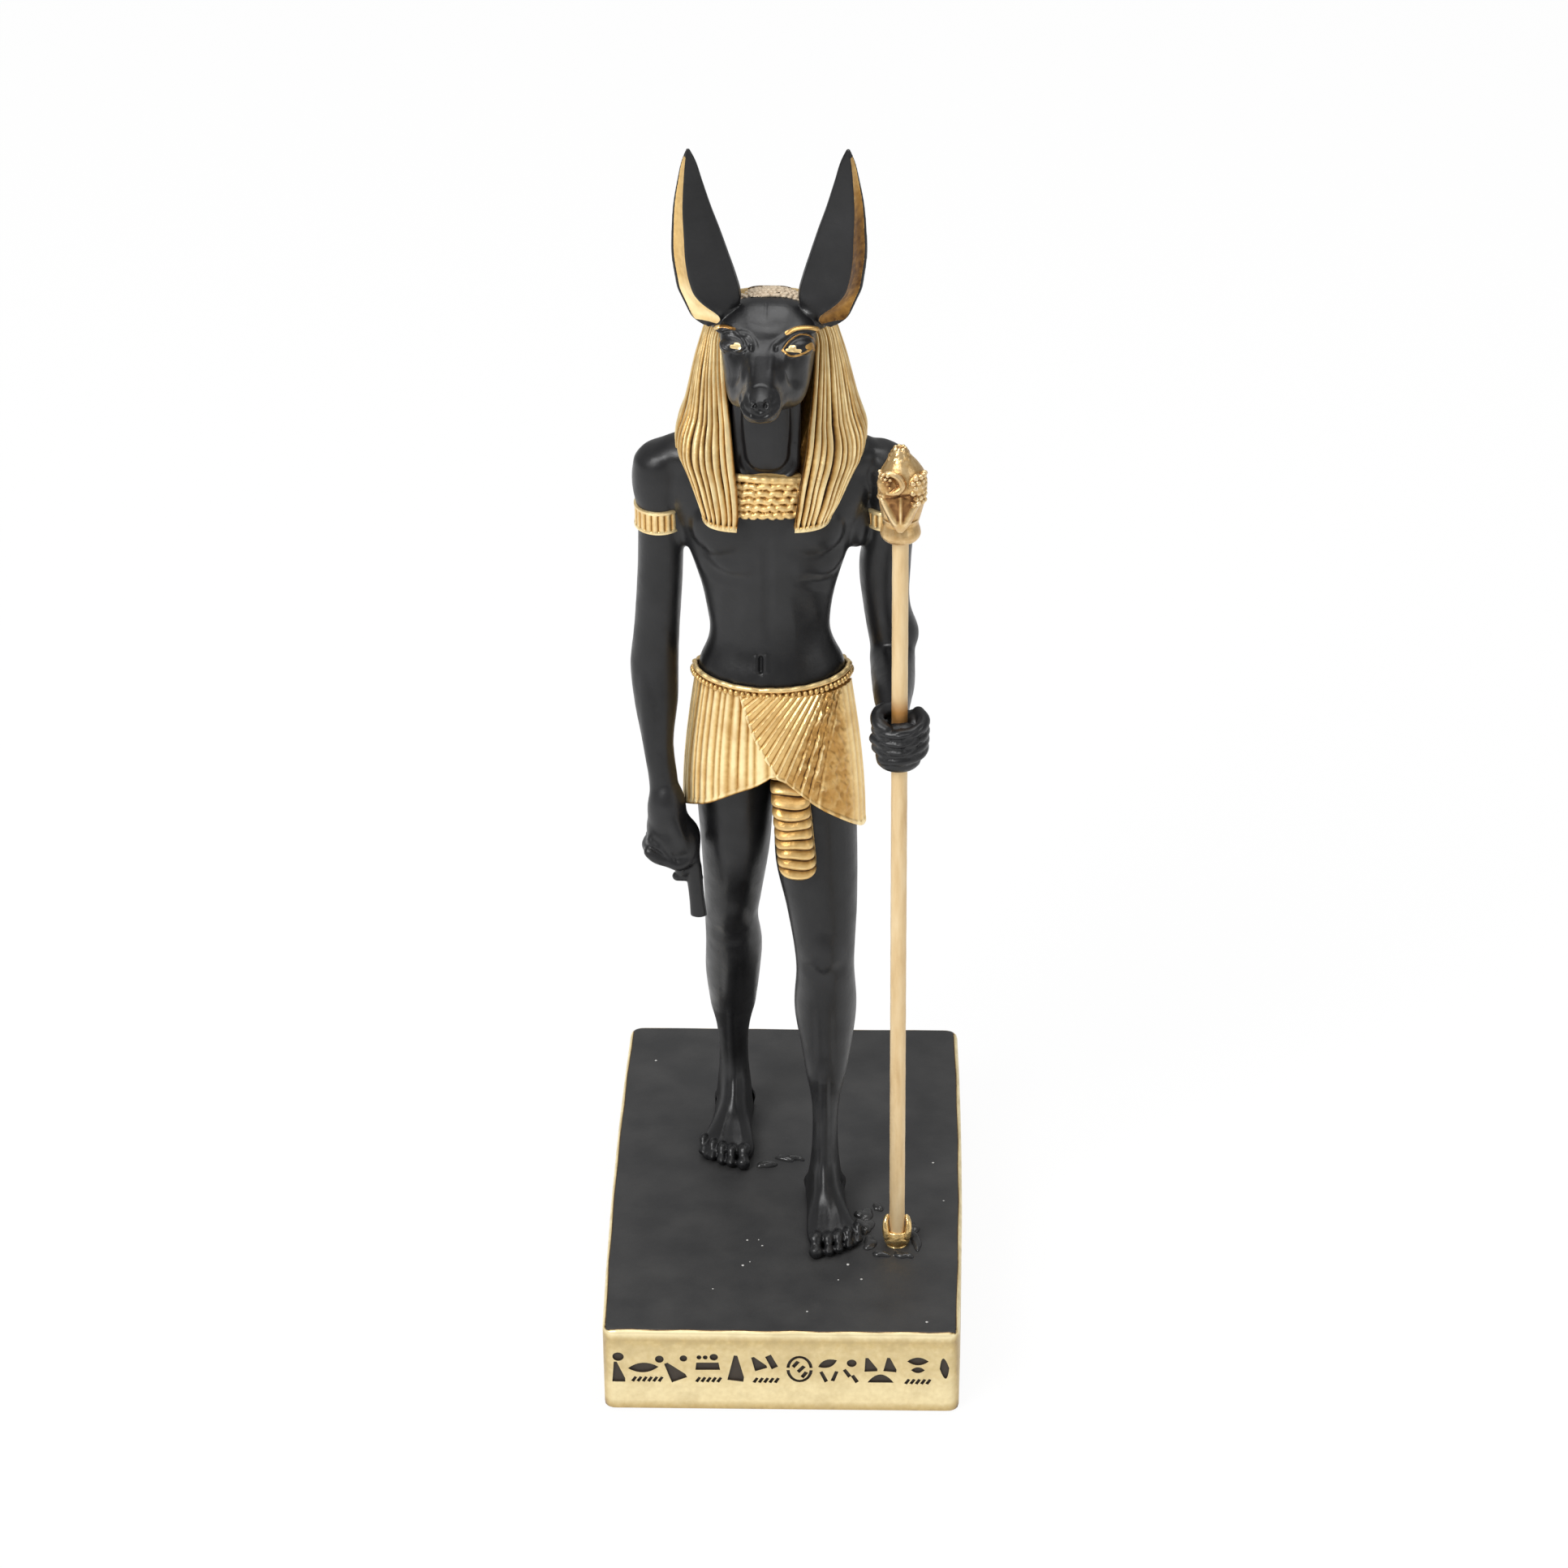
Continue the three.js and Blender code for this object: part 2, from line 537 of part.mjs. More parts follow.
function makeTab() {
  const pitch = (tabTop - tabBottom) / tabRibs;
  const rings = [];
  for (let i = 0; i <= tabRibs * 2; i++) {
    const z = tabTop - i * pitch / 2;
    const crest = i % 2 === 1;
    const chamfer = i === tabRibs * 2 ? tabHalfWidth * 0.27 : 0;
    const halfWidth = tabHalfWidth - chamfer - (crest ? 0 : ribDepth / 4);
    const y = tabFront - tabLean * (tabTop - z) - (crest ? ribDepth : 0);
    const outline = [[halfWidth, tabBack], [halfWidth, y + ribDepth], [halfWidth * 0.6, y],
      [-halfWidth * 0.6, y], [-halfWidth, y + ribDepth], [-halfWidth, tabBack]];
    rings.push(outline.map(([x, placeY]) => new THREE.Vector3(tabAxis + x, placeY, z).multiplyScalar(part)));
  }
  return solid(loft(rings));
}

// Collar between the lappets: rows of beads on a curved band
function makeCollar() {
  const rows = 4;
  const top = 106;
  const pitch = 1.25;
  const made = [];
  for (let i = 0; i < rows; i++) {
    const z = top - pitch * (i + 0.5);
    made.push(swell(-1.75, -1.3 - 0.28 * i, z, 4.4, 1.7, pitch * 0.72));
  }
  return made;
}

function makeLeftFist() {
  const x = staffX / part;
  const y = staffY / part;
  const made = [swell(x, y + 0.5, fistMiddle + 0.4, 3, 2.8, 3.2)];
  for (let i = 0; i < 4; i++) {
    const z = fistMiddle + 2.3 - 1.5 * i;
    made.push(swell(x + 0.1 + 0.08 * i, y - 0.3, z, 3.6 - 0.2 * Math.max(i - 1, 0), 2.9, 0.92));
  }
  made.push(swell(x - 2.3, y - 0.6, fistMiddle + 3, 1.5, 2.1, 1.1, -10, 20));
  return made;
}

function makeRightFist() {
  const made = [swell(-14.8, 0, 53.4, 2.5, 3.2, 3.6), swell(-16.8, -1.7, 51.2, 1.3, 1.5, 1.7)];
  for (let i = 0; i < 4; i++) {
    made.push(swell(-14 - 0.1 * i, 2.2 - 1.5 * i, 51.6 + 0.1 * i, 2.2, 0.85, 2.6, 8));
  }
  made.push(swell(-14.4, -2.6, 51, 1.1, 0.9, 2.4, 12));
  return made;
}

// Looped cross hanging from the right fist: crossbar and tapering shaft
function makeCross() {
  const shaft = [[-12.4, -1, 57, 1.4, 1.2], [-11.9, -1, 51.5, 1.5, 1.2], [-11.4, -1, 46.4, 1.1, 0.8],
    [-11.15, -1, 43.8, 1.35, 0.7], [-10.9, -1, 41.2, 1.55, 0.75]];
  const bar = new THREE.CylinderGeometry(0.9 * part, 0.9 * part, 4.6 * part, 8);
  bar.rotateZ(Math.PI / 2);
  bar.translate(-12 * part, -1 * part, 46.4 * part);
  return [limb(shaft, 8), solid(bar)];
}

function makeFace() {
  const made = [];
  for (const side of [-1, 1]) {
    made.push(swell(headAxis - 0.1 + side * 3.95, -4.9, 124.5, 1.35, 0.9, 0.85, 0, side * 25, 8));
    made.push(swell(headAxis + side * 4.2, -4.4, 126, 2.2, 0.9, 0.6, 0, side * 28, 8));
    made.push(swell(-1.95 + side * 1.5, -12, 119.2, 1.25, 1.9, 1.8, 0, side * 8, 8));
    made.push(swell(headAxis + side * 4, -2.4, 119, 1.9, 3, 2.6, 0, side * 18, 8));
  }
  made.push(swell(-2.05, -13.6, 121, 1.5, 1.1, 1.1, 0, 0, 8));
  return made;
}

function makeFigure() {
  const made = [limb(torso, 16), limb(neck), limb(rearLeg), limb(frontLeg), limb(rightArm), limb(leftUpperArm),
    limb(leftForearm), limb(rearFoot, 10), limb(frontFoot, 10), limb(head, 14), makeEar(-1), makeEar(1),
    makeWig(), makeKilt(), makeTab()];
  made.push(swell(headAxis, 5, 123.6, 6.4, 5.2, 4.2, 0, 0, 14));
  for (const side of [-1, 1]) {
    made.push(swell(headAxis + side * 5.3, 2.2, 124.8, 2.3, 2.3, 2.4));
    made.push(swell(bodyAxis + side * 4.6, -0.4, 97.6, 4.7, 2.6, 4, 0, 0, 10));
    made.push(swell(bodyAxis + side * 9.6, 3.8, 105.7, 5, 3.5, 2.7, 0, 0, 10));
    made.push(swell(bodyAxis + side * 8.1, 3.2, 76.2, 1.3, 3.6, 1.6));
    made.push(swell(bodyAxis + side * 10.9, 4.2, 96.8, 2, 2.8, 4.2));
  }
  made.push(...toes(-5.9, 0.2, -1), ...toes(4.1, -19.8, 1));
  made.push(...makeCollar(), ...makeLeftFist(), ...makeRightFist(), ...makeCross(), ...makeFace());
  const below = block(0, 0, -figureHeight / 2, plinthWidth * 2, plinthDepth * 2, figureHeight);
  const bore = new THREE.CylinderGeometry(rodDiameter / 2 + fistClearance, rodDiameter / 2 + fistClearance,
    figureHeight / 4, rodSides);
  bore.rotateX(Math.PI / 2);
  bore.translate(staffX, staffY, fistMiddle * part);
  const figure = mesh('figure', join(made).subtract(below).subtract(solid(bore)), blackResin, seamEdge);
  figure.position.z = plinthHeight;
  return figure;
}

// Staff: foot, rod and head, each on the rod's axis
const rodFoot = plinthHeight + footHeight;
const rodTop = plinthHeight + staffHeight - headHeight + socketDepth;

function makeFoot() {
  const made = [block(0, 0, footHeight / 2, footWidth, footDepth, footHeight)];
  for (const side of [-1, 1]) {
    const inner = rodDiameter / 2 + socketClearance;
    const thickness = footWidth / 2 - inner + 0.25;
    const arch = new THREE.CylinderGeometry(prongDepth / 2, prongDepth / 2, thickness, 10);
    arch.rotateZ(Math.PI / 2);
    arch.translate(side * (inner + thickness / 2), 0, footHeight + prongHeight - prongDepth / 2);
    made.push(solid(arch));
    made.push(block(side * (inner + thickness / 2), 0, footHeight + (prongHeight - prongDepth / 2) / 2 - 0.1,
      thickness, prongDepth, prongHeight - prongDepth / 2 + 0.2));
  }
  const notch = block(0, -footDepth / 2, 0, footWidth * 0.3, footDepth * 0.4, footHeight * 0.7);
  const foot = mesh('staff_foot', join(made).subtract(notch), brightGold);
  foot.position.set(staffX, staffY, plinthHeight);
  return foot;
}

function makeRod() {
  const cylinder = new THREE.CylinderGeometry(rodDiameter / 2, rodDiameter / 2, rodTop - rodFoot, rodSides);
  cylinder.rotateX(Math.PI / 2);
  const rod = mesh('staff_rod', solid(cylinder), paleGold);
  rod.position.set(staffX, staffY, (rodTop + rodFoot) / 2);
  return rod;
}

function makeStaffHead() {
  const profile = [[0, 0], [collarRadius * 0.86, 0], [collarRadius, 0.5], [collarRadius, collarHeight * 0.6],
    [collarRadius * 0.86, collarHeight * 0.8], [collarRadius * 0.9, collarHeight], [0, collarHeight]];
  const collar = new THREE.LatheGeometry(profile.map(([r, z]) => new THREE.Vector2(r, z)), 14);
  collar.rotateX(Math.PI / 2);
  const ball = (x, y, z, halfX, halfY, halfZ, turnX, rounds) => {
    const lump = new THREE.SphereGeometry(1, rounds, Math.max(6, rounds - 4));
    lump.scale(halfX, halfY, halfZ);
    lump.rotateX(THREE.MathUtils.degToRad(turnX));
    lump.translate(x, y, z);
    return solid(lump);
  };
  const middle = headHeight * 0.56;
  const beak = new THREE.ConeGeometry(collarRadius * 0.8, headHeight * 0.5, 6);
  beak.rotateX(THREE.MathUtils.degToRad(-68));
  beak.translate(0, -collarRadius * 0.9, headHeight * 0.36);
  const made = [solid(collar), ball(0.3, 0.2, middle, 2.95, 2.9, 4.1, 0, 12), solid(beak),
    ball(-1.4, -1.7, headHeight * 0.66, 1.2, 1, 1.3, 0, 8), ball(1.7, -1.6, headHeight * 0.66, 1.2, 1, 1.3, 0, 8),
    ball(0, -1.2, headHeight * 0.78, 2.2, 1.6, 1.1, 20, 10), ball(-0.2, 0.2, headHeight - 1.5, 1.7, 2, 1.5, 0, 10)];
  const socket = new THREE.CylinderGeometry(rodDiameter / 2 + socketClearance, rodDiameter / 2 + socketClearance,
    2 * socketDepth, rodSides);
  socket.rotateX(Math.PI / 2);
  const head = mesh('staff_head', join(made).subtract(solid(socket)), copperGold);
  head.position.set(staffX, staffY, rodTop - socketDepth);
  return head;
}

const statue = new THREE.Group();
statue.add(makePlinth(), makeFigure(), makeFoot(), makeRod(), makeStaffHead());

export default statue;
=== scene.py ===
# A jackal-headed figure with a staff on an oblong plinth: the finish of a small cast resin souvenir.
# Pieces are shaped in millimetres above the soles, and brought into the frame's metres at the end.
import math
import bpy
import numpy as np
from mathutils import Matrix, Vector


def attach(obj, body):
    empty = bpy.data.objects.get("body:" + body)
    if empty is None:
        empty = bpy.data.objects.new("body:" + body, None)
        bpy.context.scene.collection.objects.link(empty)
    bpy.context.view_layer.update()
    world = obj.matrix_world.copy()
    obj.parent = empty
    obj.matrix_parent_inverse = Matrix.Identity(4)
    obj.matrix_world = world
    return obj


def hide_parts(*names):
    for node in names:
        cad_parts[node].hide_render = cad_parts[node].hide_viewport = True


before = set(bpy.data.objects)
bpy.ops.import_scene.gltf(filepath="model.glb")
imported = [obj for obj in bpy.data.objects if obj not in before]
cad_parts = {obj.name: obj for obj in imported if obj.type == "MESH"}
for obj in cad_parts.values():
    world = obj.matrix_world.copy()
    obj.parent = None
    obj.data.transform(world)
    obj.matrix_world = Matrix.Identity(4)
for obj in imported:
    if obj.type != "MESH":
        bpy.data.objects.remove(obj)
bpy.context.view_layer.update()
chance = np.random.default_rng(16)

general = {
    "plinthTop": 12.5,        # mm from the underside to the soles
    "staffX": 14.75,
    "staffY": -15.9,
    "lookDown": 30.4,         # degrees, the angle that the front marks are laid out for
}


# Small tools

def clearSelection():
    if bpy.context.object and bpy.context.object.mode != "OBJECT":
        bpy.ops.object.mode_set(mode="OBJECT")
    bpy.ops.object.select_all(action="DESELECT")


def choose(piece, others=()):
    clearSelection()
    for other in others:
        other.select_set(True)
    piece.select_set(True)
    bpy.context.view_layer.objects.active = piece


def editAll():
    bpy.ops.object.mode_set(mode="EDIT")
    bpy.ops.mesh.select_all(action="SELECT")


def endEdit():
    bpy.ops.object.mode_set(mode="OBJECT")


def startPiece(name):
    clearSelection()
    bpy.ops.object.add(type="MESH")
    piece = bpy.context.object
    piece.name = name
    bpy.ops.object.mode_set(mode="EDIT")
    return piece


def getPoints(piece):
    points = np.empty(len(piece.data.vertices) * 3, np.float32)
    piece.data.vertices.foreach_get("co", points)
    return points.reshape(-1, 3).astype(float)


def getNormals(piece):
    normals = np.empty(len(piece.data.vertices) * 3, np.float32)
    piece.data.vertex_normals.foreach_get("vector", normals)
    return normals.reshape(-1, 3).astype(float)


def setPoints(piece, points):
    piece.data.vertices.foreach_set("co", points.astype(np.float32).ravel())
    piece.data.update()


def setLevel(piece, name, values):
    # a number kept on each corner, which the paint reads
    level = piece.data.attributes.get(name) or piece.data.attributes.new(name, "FLOAT", "POINT")
    level.data.foreach_set("value", values.astype(np.float32))


def rise(value, start, span):
    # 0 up to start, and 1 from a span further on
    return np.clip((value - start) / span, 0, 1)


def fall(value, end, span):
    # 1 until a span before the end, and 0 from there on
    return np.clip((end - value) / span, 0, 1)


def bell(value, middle, width):
    return np.exp(-((value - middle) / width) ** 2)


def ends(share):
    # the first and last rows of a skin, which are drawn in so that it closes
    return (share < 0.01) | (share > 0.99)


def squared(value, power):
    # a sine or cosine pushed out, so that a round outline grows corners
    return np.sign(value) * np.abs(value) ** power


def moved(rows, x, y, z=0):
    # rows of x, y, z and more, carried to a place
    return [[x + row[0], y + row[1], z + row[2], *row[3:]] for row in rows]


def smoothRows(rows, pitch):
    # rows of numbers, filled in along a smooth curve through the first three of each
    rows = np.array(rows, float)
    spans = np.linalg.norm(np.diff(rows[:, :3], axis=0), axis=1)
    places = np.concatenate([[0], np.cumsum(spans)])
    slopes = np.gradient(rows, places, axis=0)
    wanted = np.linspace(0, places[-1], max(2, int(places[-1] / pitch)) + 1)
    i = np.clip(np.searchsorted(places, wanted, side="right") - 1, 0, len(spans) - 1)
    span = spans[i][:, None]
    t = ((wanted - places[i]) / spans[i])[:, None]
    return ((2 * t ** 3 - 3 * t ** 2 + 1) * rows[i] + (t ** 3 - 2 * t ** 2 + t) * span * slopes[i]
            + (3 * t ** 2 - 2 * t ** 3) * rows[i + 1] + (t ** 3 - t ** 2) * span * slopes[i + 1])


def limb(stations, sides=32, lying=False, pitch=1.2):
    # an oval grown station by station: x, y, z, half width, half depth (half height where it lies)
    rows = smoothRows(stations, pitch)
    x, y, z, halfWidth, halfDepth = rows[0]
    bpy.ops.mesh.primitive_circle_add(vertices=sides, radius=1, fill_type="NGON", location=(x, y, z),
                                      rotation=(math.pi / 2 if lying else 0, 0, 0))
    bpy.ops.transform.resize(value=(halfWidth, 1, halfDepth) if lying else (halfWidth, halfDepth, 1),
                             center_override=(x, y, z))
    for last, row in zip(rows[:-1], rows[1:]):
        bpy.ops.mesh.extrude_region_move(TRANSFORM_OT_translate={"value": tuple(row[:3] - last[:3])})
        wide, deep = row[3:] / last[3:]
        bpy.ops.transform.resize(value=(wide, 1, deep) if lying else (wide, deep, 1),
                                 center_override=tuple(row[:3]))


def swell(x, y, z, halfX, halfY, halfZ, turnX=0, turnY=0, turnZ=0, segments=20):
    # an egg, with its turns in degrees
    bpy.ops.mesh.primitive_uv_sphere_add(segments=segments, ring_count=segments // 2, radius=1,
                                         location=(x, y, z), scale=(halfX, halfY, halfZ),
                                         rotation=[math.radians(turn) for turn in (turnX, turnY, turnZ)])


def modify(piece, kind, **settings):
    choose(piece)
    modifier = piece.modifiers.new(kind.lower(), kind)
    for name, value in settings.items():
        setattr(modifier, name, value)
    bpy.ops.object.modifier_apply(modifier=modifier.name)


def fuse(piece, voxel, relax):
    # one skin over all that overlaps, with its seams eased
    choose(piece)
    piece.data.remesh_voxel_size = voxel
    bpy.ops.object.voxel_remesh()
    modify(piece, "SMOOTH", factor=0.5, iterations=relax)


def countTriangles(piece):
    return sum(len(face.vertices) - 2 for face in piece.data.polygons)


def thin(piece, triangles):
    now = countTriangles(piece)
    if now > triangles:
        modify(piece, "DECIMATE", ratio=triangles / now)


def fromLine(points, path):
    # how far each point is from a line, how far along the line it stands, and the line's length
    gap = np.full(len(points), 1e9)
    along = np.zeros(len(points))
    before = 0
    for start, end in zip(path[:-1], path[1:]):
        run = end - start
        length = math.sqrt(run @ run) + 1e-9
        share = np.clip((points - start) @ run / length ** 2, 0, 1)
        away = np.linalg.norm(points - start - share[:, None] * run, axis=1)
        along = np.where(away < gap, before + share * length, along)
        gap = np.minimum(gap, away)
        before += length
    return gap, along, before


down = math.radians(general["lookDown"])
lookAlong = np.array([0, math.cos(down), -math.sin(down)])
flatten = np.eye(3) - np.outer(lookAlong, lookAlong)


def front(*places):
    # marks laid out as seen from the front: x and height, on the plane two millimetres before the middle
    return [(x, -2, z) for x, z in places]


def carve(piece, marks):
    # the skin moved out, or in for a height below zero, along lines seen from the front, which fade out
    # each mark: the line's points, width and height
    points = getPoints(piece)
    normals = getNormals(piece)
    lift = np.zeros(len(points))
    seen = points @ flatten
    facing = np.clip(-(normals @ lookAlong) * 3, 0, 1)
    for path, width, height in marks:
        path = smoothRows(path, width / 3) @ flatten
        near = np.all((seen > path.min(0) - width) & (seen < path.max(0) + width), axis=1)
        gap, along, length = fromLine(seen[near], path)
        fade = 1
        if length > 4 * width:
            fade = np.clip(np.minimum(along, length - along) / (2.2 * width) + 0.15, 0, 1)
        lift[near] += height * np.clip(1 - (gap / width) ** 2, 0, None) ** 2 * facing[near] * fade
    setPoints(piece, points + lift[:, None] * normals)


def eased(piece, rounds, share=1):
    # the points drawn toward their neighbours, as far as share says for each
    mesh = piece.data
    edges = np.empty(len(mesh.edges) * 2, np.int32)
    mesh.edges.foreach_get("vertices", edges)
    first, second = edges.reshape(-1, 2).T
    count = len(mesh.vertices)
    around = np.maximum(np.bincount(first, minlength=count) + np.bincount(second, minlength=count), 1)
    soft = getPoints(piece)
    for _ in range(rounds):
        total = np.stack([np.bincount(first, soft[second, i], count)
                          + np.bincount(second, soft[first, i], count) for i in range(3)], axis=1)
        soft = soft + 0.5 * share * (total / around[:, None] - soft)
    return soft


def hollows(piece, reach, rounds):
    # 0 in hollows, 1 on ridges, from how far the skin stands off its own smoothed self: the paint reads it as
    # a dark wash with painted shade in the hollows and painted highlights on the ridges
    depth = ((eased(piece, rounds) - getPoints(piece)) * getNormals(piece)).sum(axis=1)
    setLevel(piece, "washShadeAndHighlight", np.clip(0.5 - depth / (2 * reach), 0, 1))


def closeSkin():
    editAll()
    bpy.ops.mesh.remove_doubles(threshold=0.0005)
    bpy.ops.mesh.fill_holes(sides=0)
    bpy.ops.mesh.select_all(action="SELECT")
    bpy.ops.mesh.normals_make_consistent(inside=False)
    endEdit()


def sheet(name, across, rows, place):
    # a closed skin of across by rows quads: place gives x, y, z, and if need be two levels, the first for the
    # dark wash with painted shade and painted highlights, the second for worn thin paint and painted shade,
    # for each corner from its shares round and along
    clearSelection()
    bpy.ops.mesh.primitive_grid_add(x_subdivisions=across, y_subdivisions=rows, size=2)
    piece = bpy.context.object
    piece.name = name
    points = getPoints(piece)
    made = place((points[:, 0] + 1) / 2, (points[:, 1] + 1) / 2)
    setPoints(piece, np.stack(made[:3], axis=1))
    for level, values in zip(("washShadeAndHighlight", "worn"), made[3:]):
        setLevel(piece, level, values)
    closeSkin()
    return piece


def joinTo(piece, others):
    choose(piece, others)
    bpy.ops.object.join()


def finger(path, spacing=0.3, level=(0, 0, 1)):
    # a round rope, finger or toe along x, y, z, radius, domed at both ends; level: a direction across it
    rows = smoothRows(path, spacing)
    along = np.gradient(rows[:, :3], axis=0)
    along /= np.linalg.norm(along, axis=1)[:, None]
    dome = np.radians([90, 62, 36, 12])
    order = [0] * len(dome) + list(range(len(rows))) + [-1] * len(dome)
    reach = np.concatenate([-np.sin(dome), np.zeros(len(rows)), np.sin(dome[::-1])])
    share = np.concatenate([np.cos(dome), np.ones(len(rows)), np.cos(dome[::-1])])
    rows = rows[order]
    along = along[order]
    middles = rows[:, :3] + along * (rows[:, 3] * reach)[:, None]
    radii = rows[:, 3] * share
    clearSelection()
    bpy.ops.mesh.primitive_uv_sphere_add(segments=14, ring_count=len(rows) - 1, radius=1)
    made = bpy.context.object
    points = getPoints(made)
    ring = np.round(np.arccos(np.clip(points[:, 2], -1, 1)) / np.pi * (len(rows) - 1)).astype(int)
    turn = np.arctan2(points[:, 1], points[:, 0])
    sideways = np.cross(along, level)
    sideways /= np.linalg.norm(sideways, axis=1)[:, None]
    upward = np.cross(sideways, along)
    setPoints(made, middles[ring] + radii[ring][:, None]
              * (np.cos(turn)[:, None] * sideways[ring] + np.sin(turn)[:, None] * upward[ring]))
    return made


def loft(name, sections, around, pitch):
    # a skin through half sections along the figure's front to back line: y, middle x, then from top to bottom
    # half widths and heights
    rows = []
    for y, middle, half in sections:
        ring = [(middle + x, z) for x, z in half] + [(middle - x, z) for x, z in half[-2:0:-1]]
        rows.append([middle, y, half[2][1]] + [value for point in ring for value in point])
    rows = smoothRows(rows, pitch)
    rings = rows[:, 3:].reshape(len(rows), -1, 2)
    count = rings.shape[1]

    def place(turn, share):
        row = np.round(share * (len(rows) - 1)).astype(int)
        at = turn * count
        i = np.floor(at).astype(int)
        t = (at - i)[:, None]
        before, first, second, after = (rings[row, (i + step) % count] for step in (-1, 0, 1, 2))
        point = 0.5 * (2 * first + (second - before) * t
                       + (2 * before - 5 * first + 4 * second - after) * t ** 2
                       + (3 * first - before - 3 * second + after) * t ** 3)
        return point[:, 0], rows[row, 1], point[:, 1]

    return sheet(name, around, len(rows) - 1, place)


def finishPiece(piece, material, node, raised=True, sharp=None):
    # into metres in the frame, with its place in its mesh
    choose(piece)
    if sharp is None:
        bpy.ops.object.shade_smooth()
    else:
        bpy.ops.object.shade_smooth_by_angle(angle=math.radians(sharp))
    piece.location = (0, 0, general["plinthTop"] / 1000 if raised else 0)
    piece.scale = (0.001, 0.001, 0.001)
    bpy.ops.object.transform_apply(location=True, rotation=True, scale=True)
    if not piece.data.materials:
        piece.data.materials.append(material)
    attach(piece, "root")
    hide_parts(node)
    print("finished", piece.name, "with", countTriangles(piece), "triangles")


# Finishes

class Finish:
    # one material, with short ways to add to its nodes
    def __init__(self, name):
        self.material = bpy.data.materials.new(name)
        self.material.use_nodes = True
        self.nodes = self.material.node_tree.nodes
        self.links = self.material.node_tree.links
        self.shader = self.nodes["Principled BSDF"]

    def feed(self, values):
        for name, value in values.items():
            self.connect(value, self.shader.inputs[name])

    def connect(self, value, socket):
        # a number, a colour, or what another node gives
        if isinstance(value, (int, float)):
            socket.default_value = value
        elif isinstance(value, tuple):
            socket.default_value = (*value, 1)
        else:
            self.links.new(value, socket)

    def grain(self, scale, detail=3, stretch=(1, 1, 1)):
        # cloudy variation on the piece's own coordinates, scale in features to the metre
        place = self.nodes.new("ShaderNodeTexCoord")
        turn = self.nodes.new("ShaderNodeMapping")
        turn.inputs["Scale"].default_value = stretch
        cloud = self.nodes.new("ShaderNodeTexNoise")
        cloud.inputs["Scale"].default_value = scale
        cloud.inputs["Detail"].default_value = detail
        self.links.new(place.outputs["Object"], turn.inputs["Vector"])
        self.links.new(turn.outputs["Vector"], cloud.inputs["Vector"])
        return cloud.outputs["Fac"]

    def ramp(self, source, *stops):
        # each stop: its place, and a colour or a plain number
        made = self.nodes.new("ShaderNodeValToRGB")
        while len(made.color_ramp.elements) < len(stops):
            made.color_ramp.elements.new(0.5)
        for element, (place, colour) in zip(made.color_ramp.elements, stops):
            element.position = place
            element.color = (*colour, 1) if isinstance(colour, tuple) else (colour,) * 3 + (1,)
        self.links.new(source, made.inputs["Fac"])
        return made.outputs["Color"]

    def sums(self, operation, first, second):
        made = self.nodes.new("ShaderNodeMath")
        made.operation = operation
        made.use_clamp = operation != "MULTIPLY"
        self.connect(first, made.inputs[0])
        self.connect(second, made.inputs[1])
        return made.outputs[0]

    def blend(self, share, first, second):
        made = self.nodes.new("ShaderNodeMix")
        made.data_type = "RGBA"
        for value, place in ((share, 0), (first, 6), (second, 7)):       # its number, then its two colours
            self.connect(value, made.inputs[place])
        return made.outputs[2]

    def level(self, name):
        made = self.nodes.new("ShaderNodeAttribute")
        made.attribute_name = name
        return made.outputs["Fac"]

    def roughen(self, scale, detail, depth, strength):
        bump = self.nodes.new("ShaderNodeBump")
        bump.inputs["Distance"].default_value = depth
        bump.inputs["Strength"].default_value = strength
        self.links.new(self.grain(scale, detail), bump.inputs["Height"])
        self.links.new(bump.outputs["Normal"], self.shader.inputs["Normal"])


goldColours = {
    "hollow": (0.085, 0.034, 0.007), "low": (0.36, 0.18, 0.038), "middle": (0.76, 0.51, 0.20),
    "high": (0.98, 0.80, 0.44), "worn": (0.50, 0.27, 0.07),     # amber patches of thin paint, and the amber of painted shade
}
copperColours = {
    "hollow": (0.09, 0.035, 0.01), "low": (0.30, 0.145, 0.048), "middle": (0.56, 0.36, 0.145),
    "high": (0.92, 0.74, 0.45), "worn": (0.40, 0.21, 0.07),
}
crownColours = {     # a beige, nearly matt paint
    "hollow": (0.25, 0.17, 0.11), "low": (0.36, 0.275, 0.19), "middle": (0.48, 0.39, 0.28),
    "high": (0.60, 0.51, 0.39), "worn": (0.42, 0.33, 0.24),
}
paintColours = {     # the pale paint round the plinth
    "hollow": (0.05, 0.025, 0.01), "low": (0.30, 0.19, 0.08), "middle": (0.57, 0.43, 0.195),
    "high": (0.82, 0.70, 0.42), "worn": (0.46, 0.35, 0.17),
}
resinColours = {
    "deep": (0.0055, 0.0055, 0.006), "dusty": (0.012, 0.012, 0.013),
    "topDeep": (0.023, 0.023, 0.0235), "topDusty": (0.038, 0.0375, 0.037),    # the plinth's top is greyer
}
rodColours = {
    "dark": (0.56, 0.37, 0.17), "middle": (0.70, 0.51, 0.27), "pale": (0.80, 0.63, 0.38),
    # the amber colours are the fist's painted shadow on the rod
    "paleShadeAmber": (0.75, 0.57, 0.32), "amberShade": (0.42, 0.20, 0.05), "deepShadeAmber": (0.06, 0.03, 0.012),
}


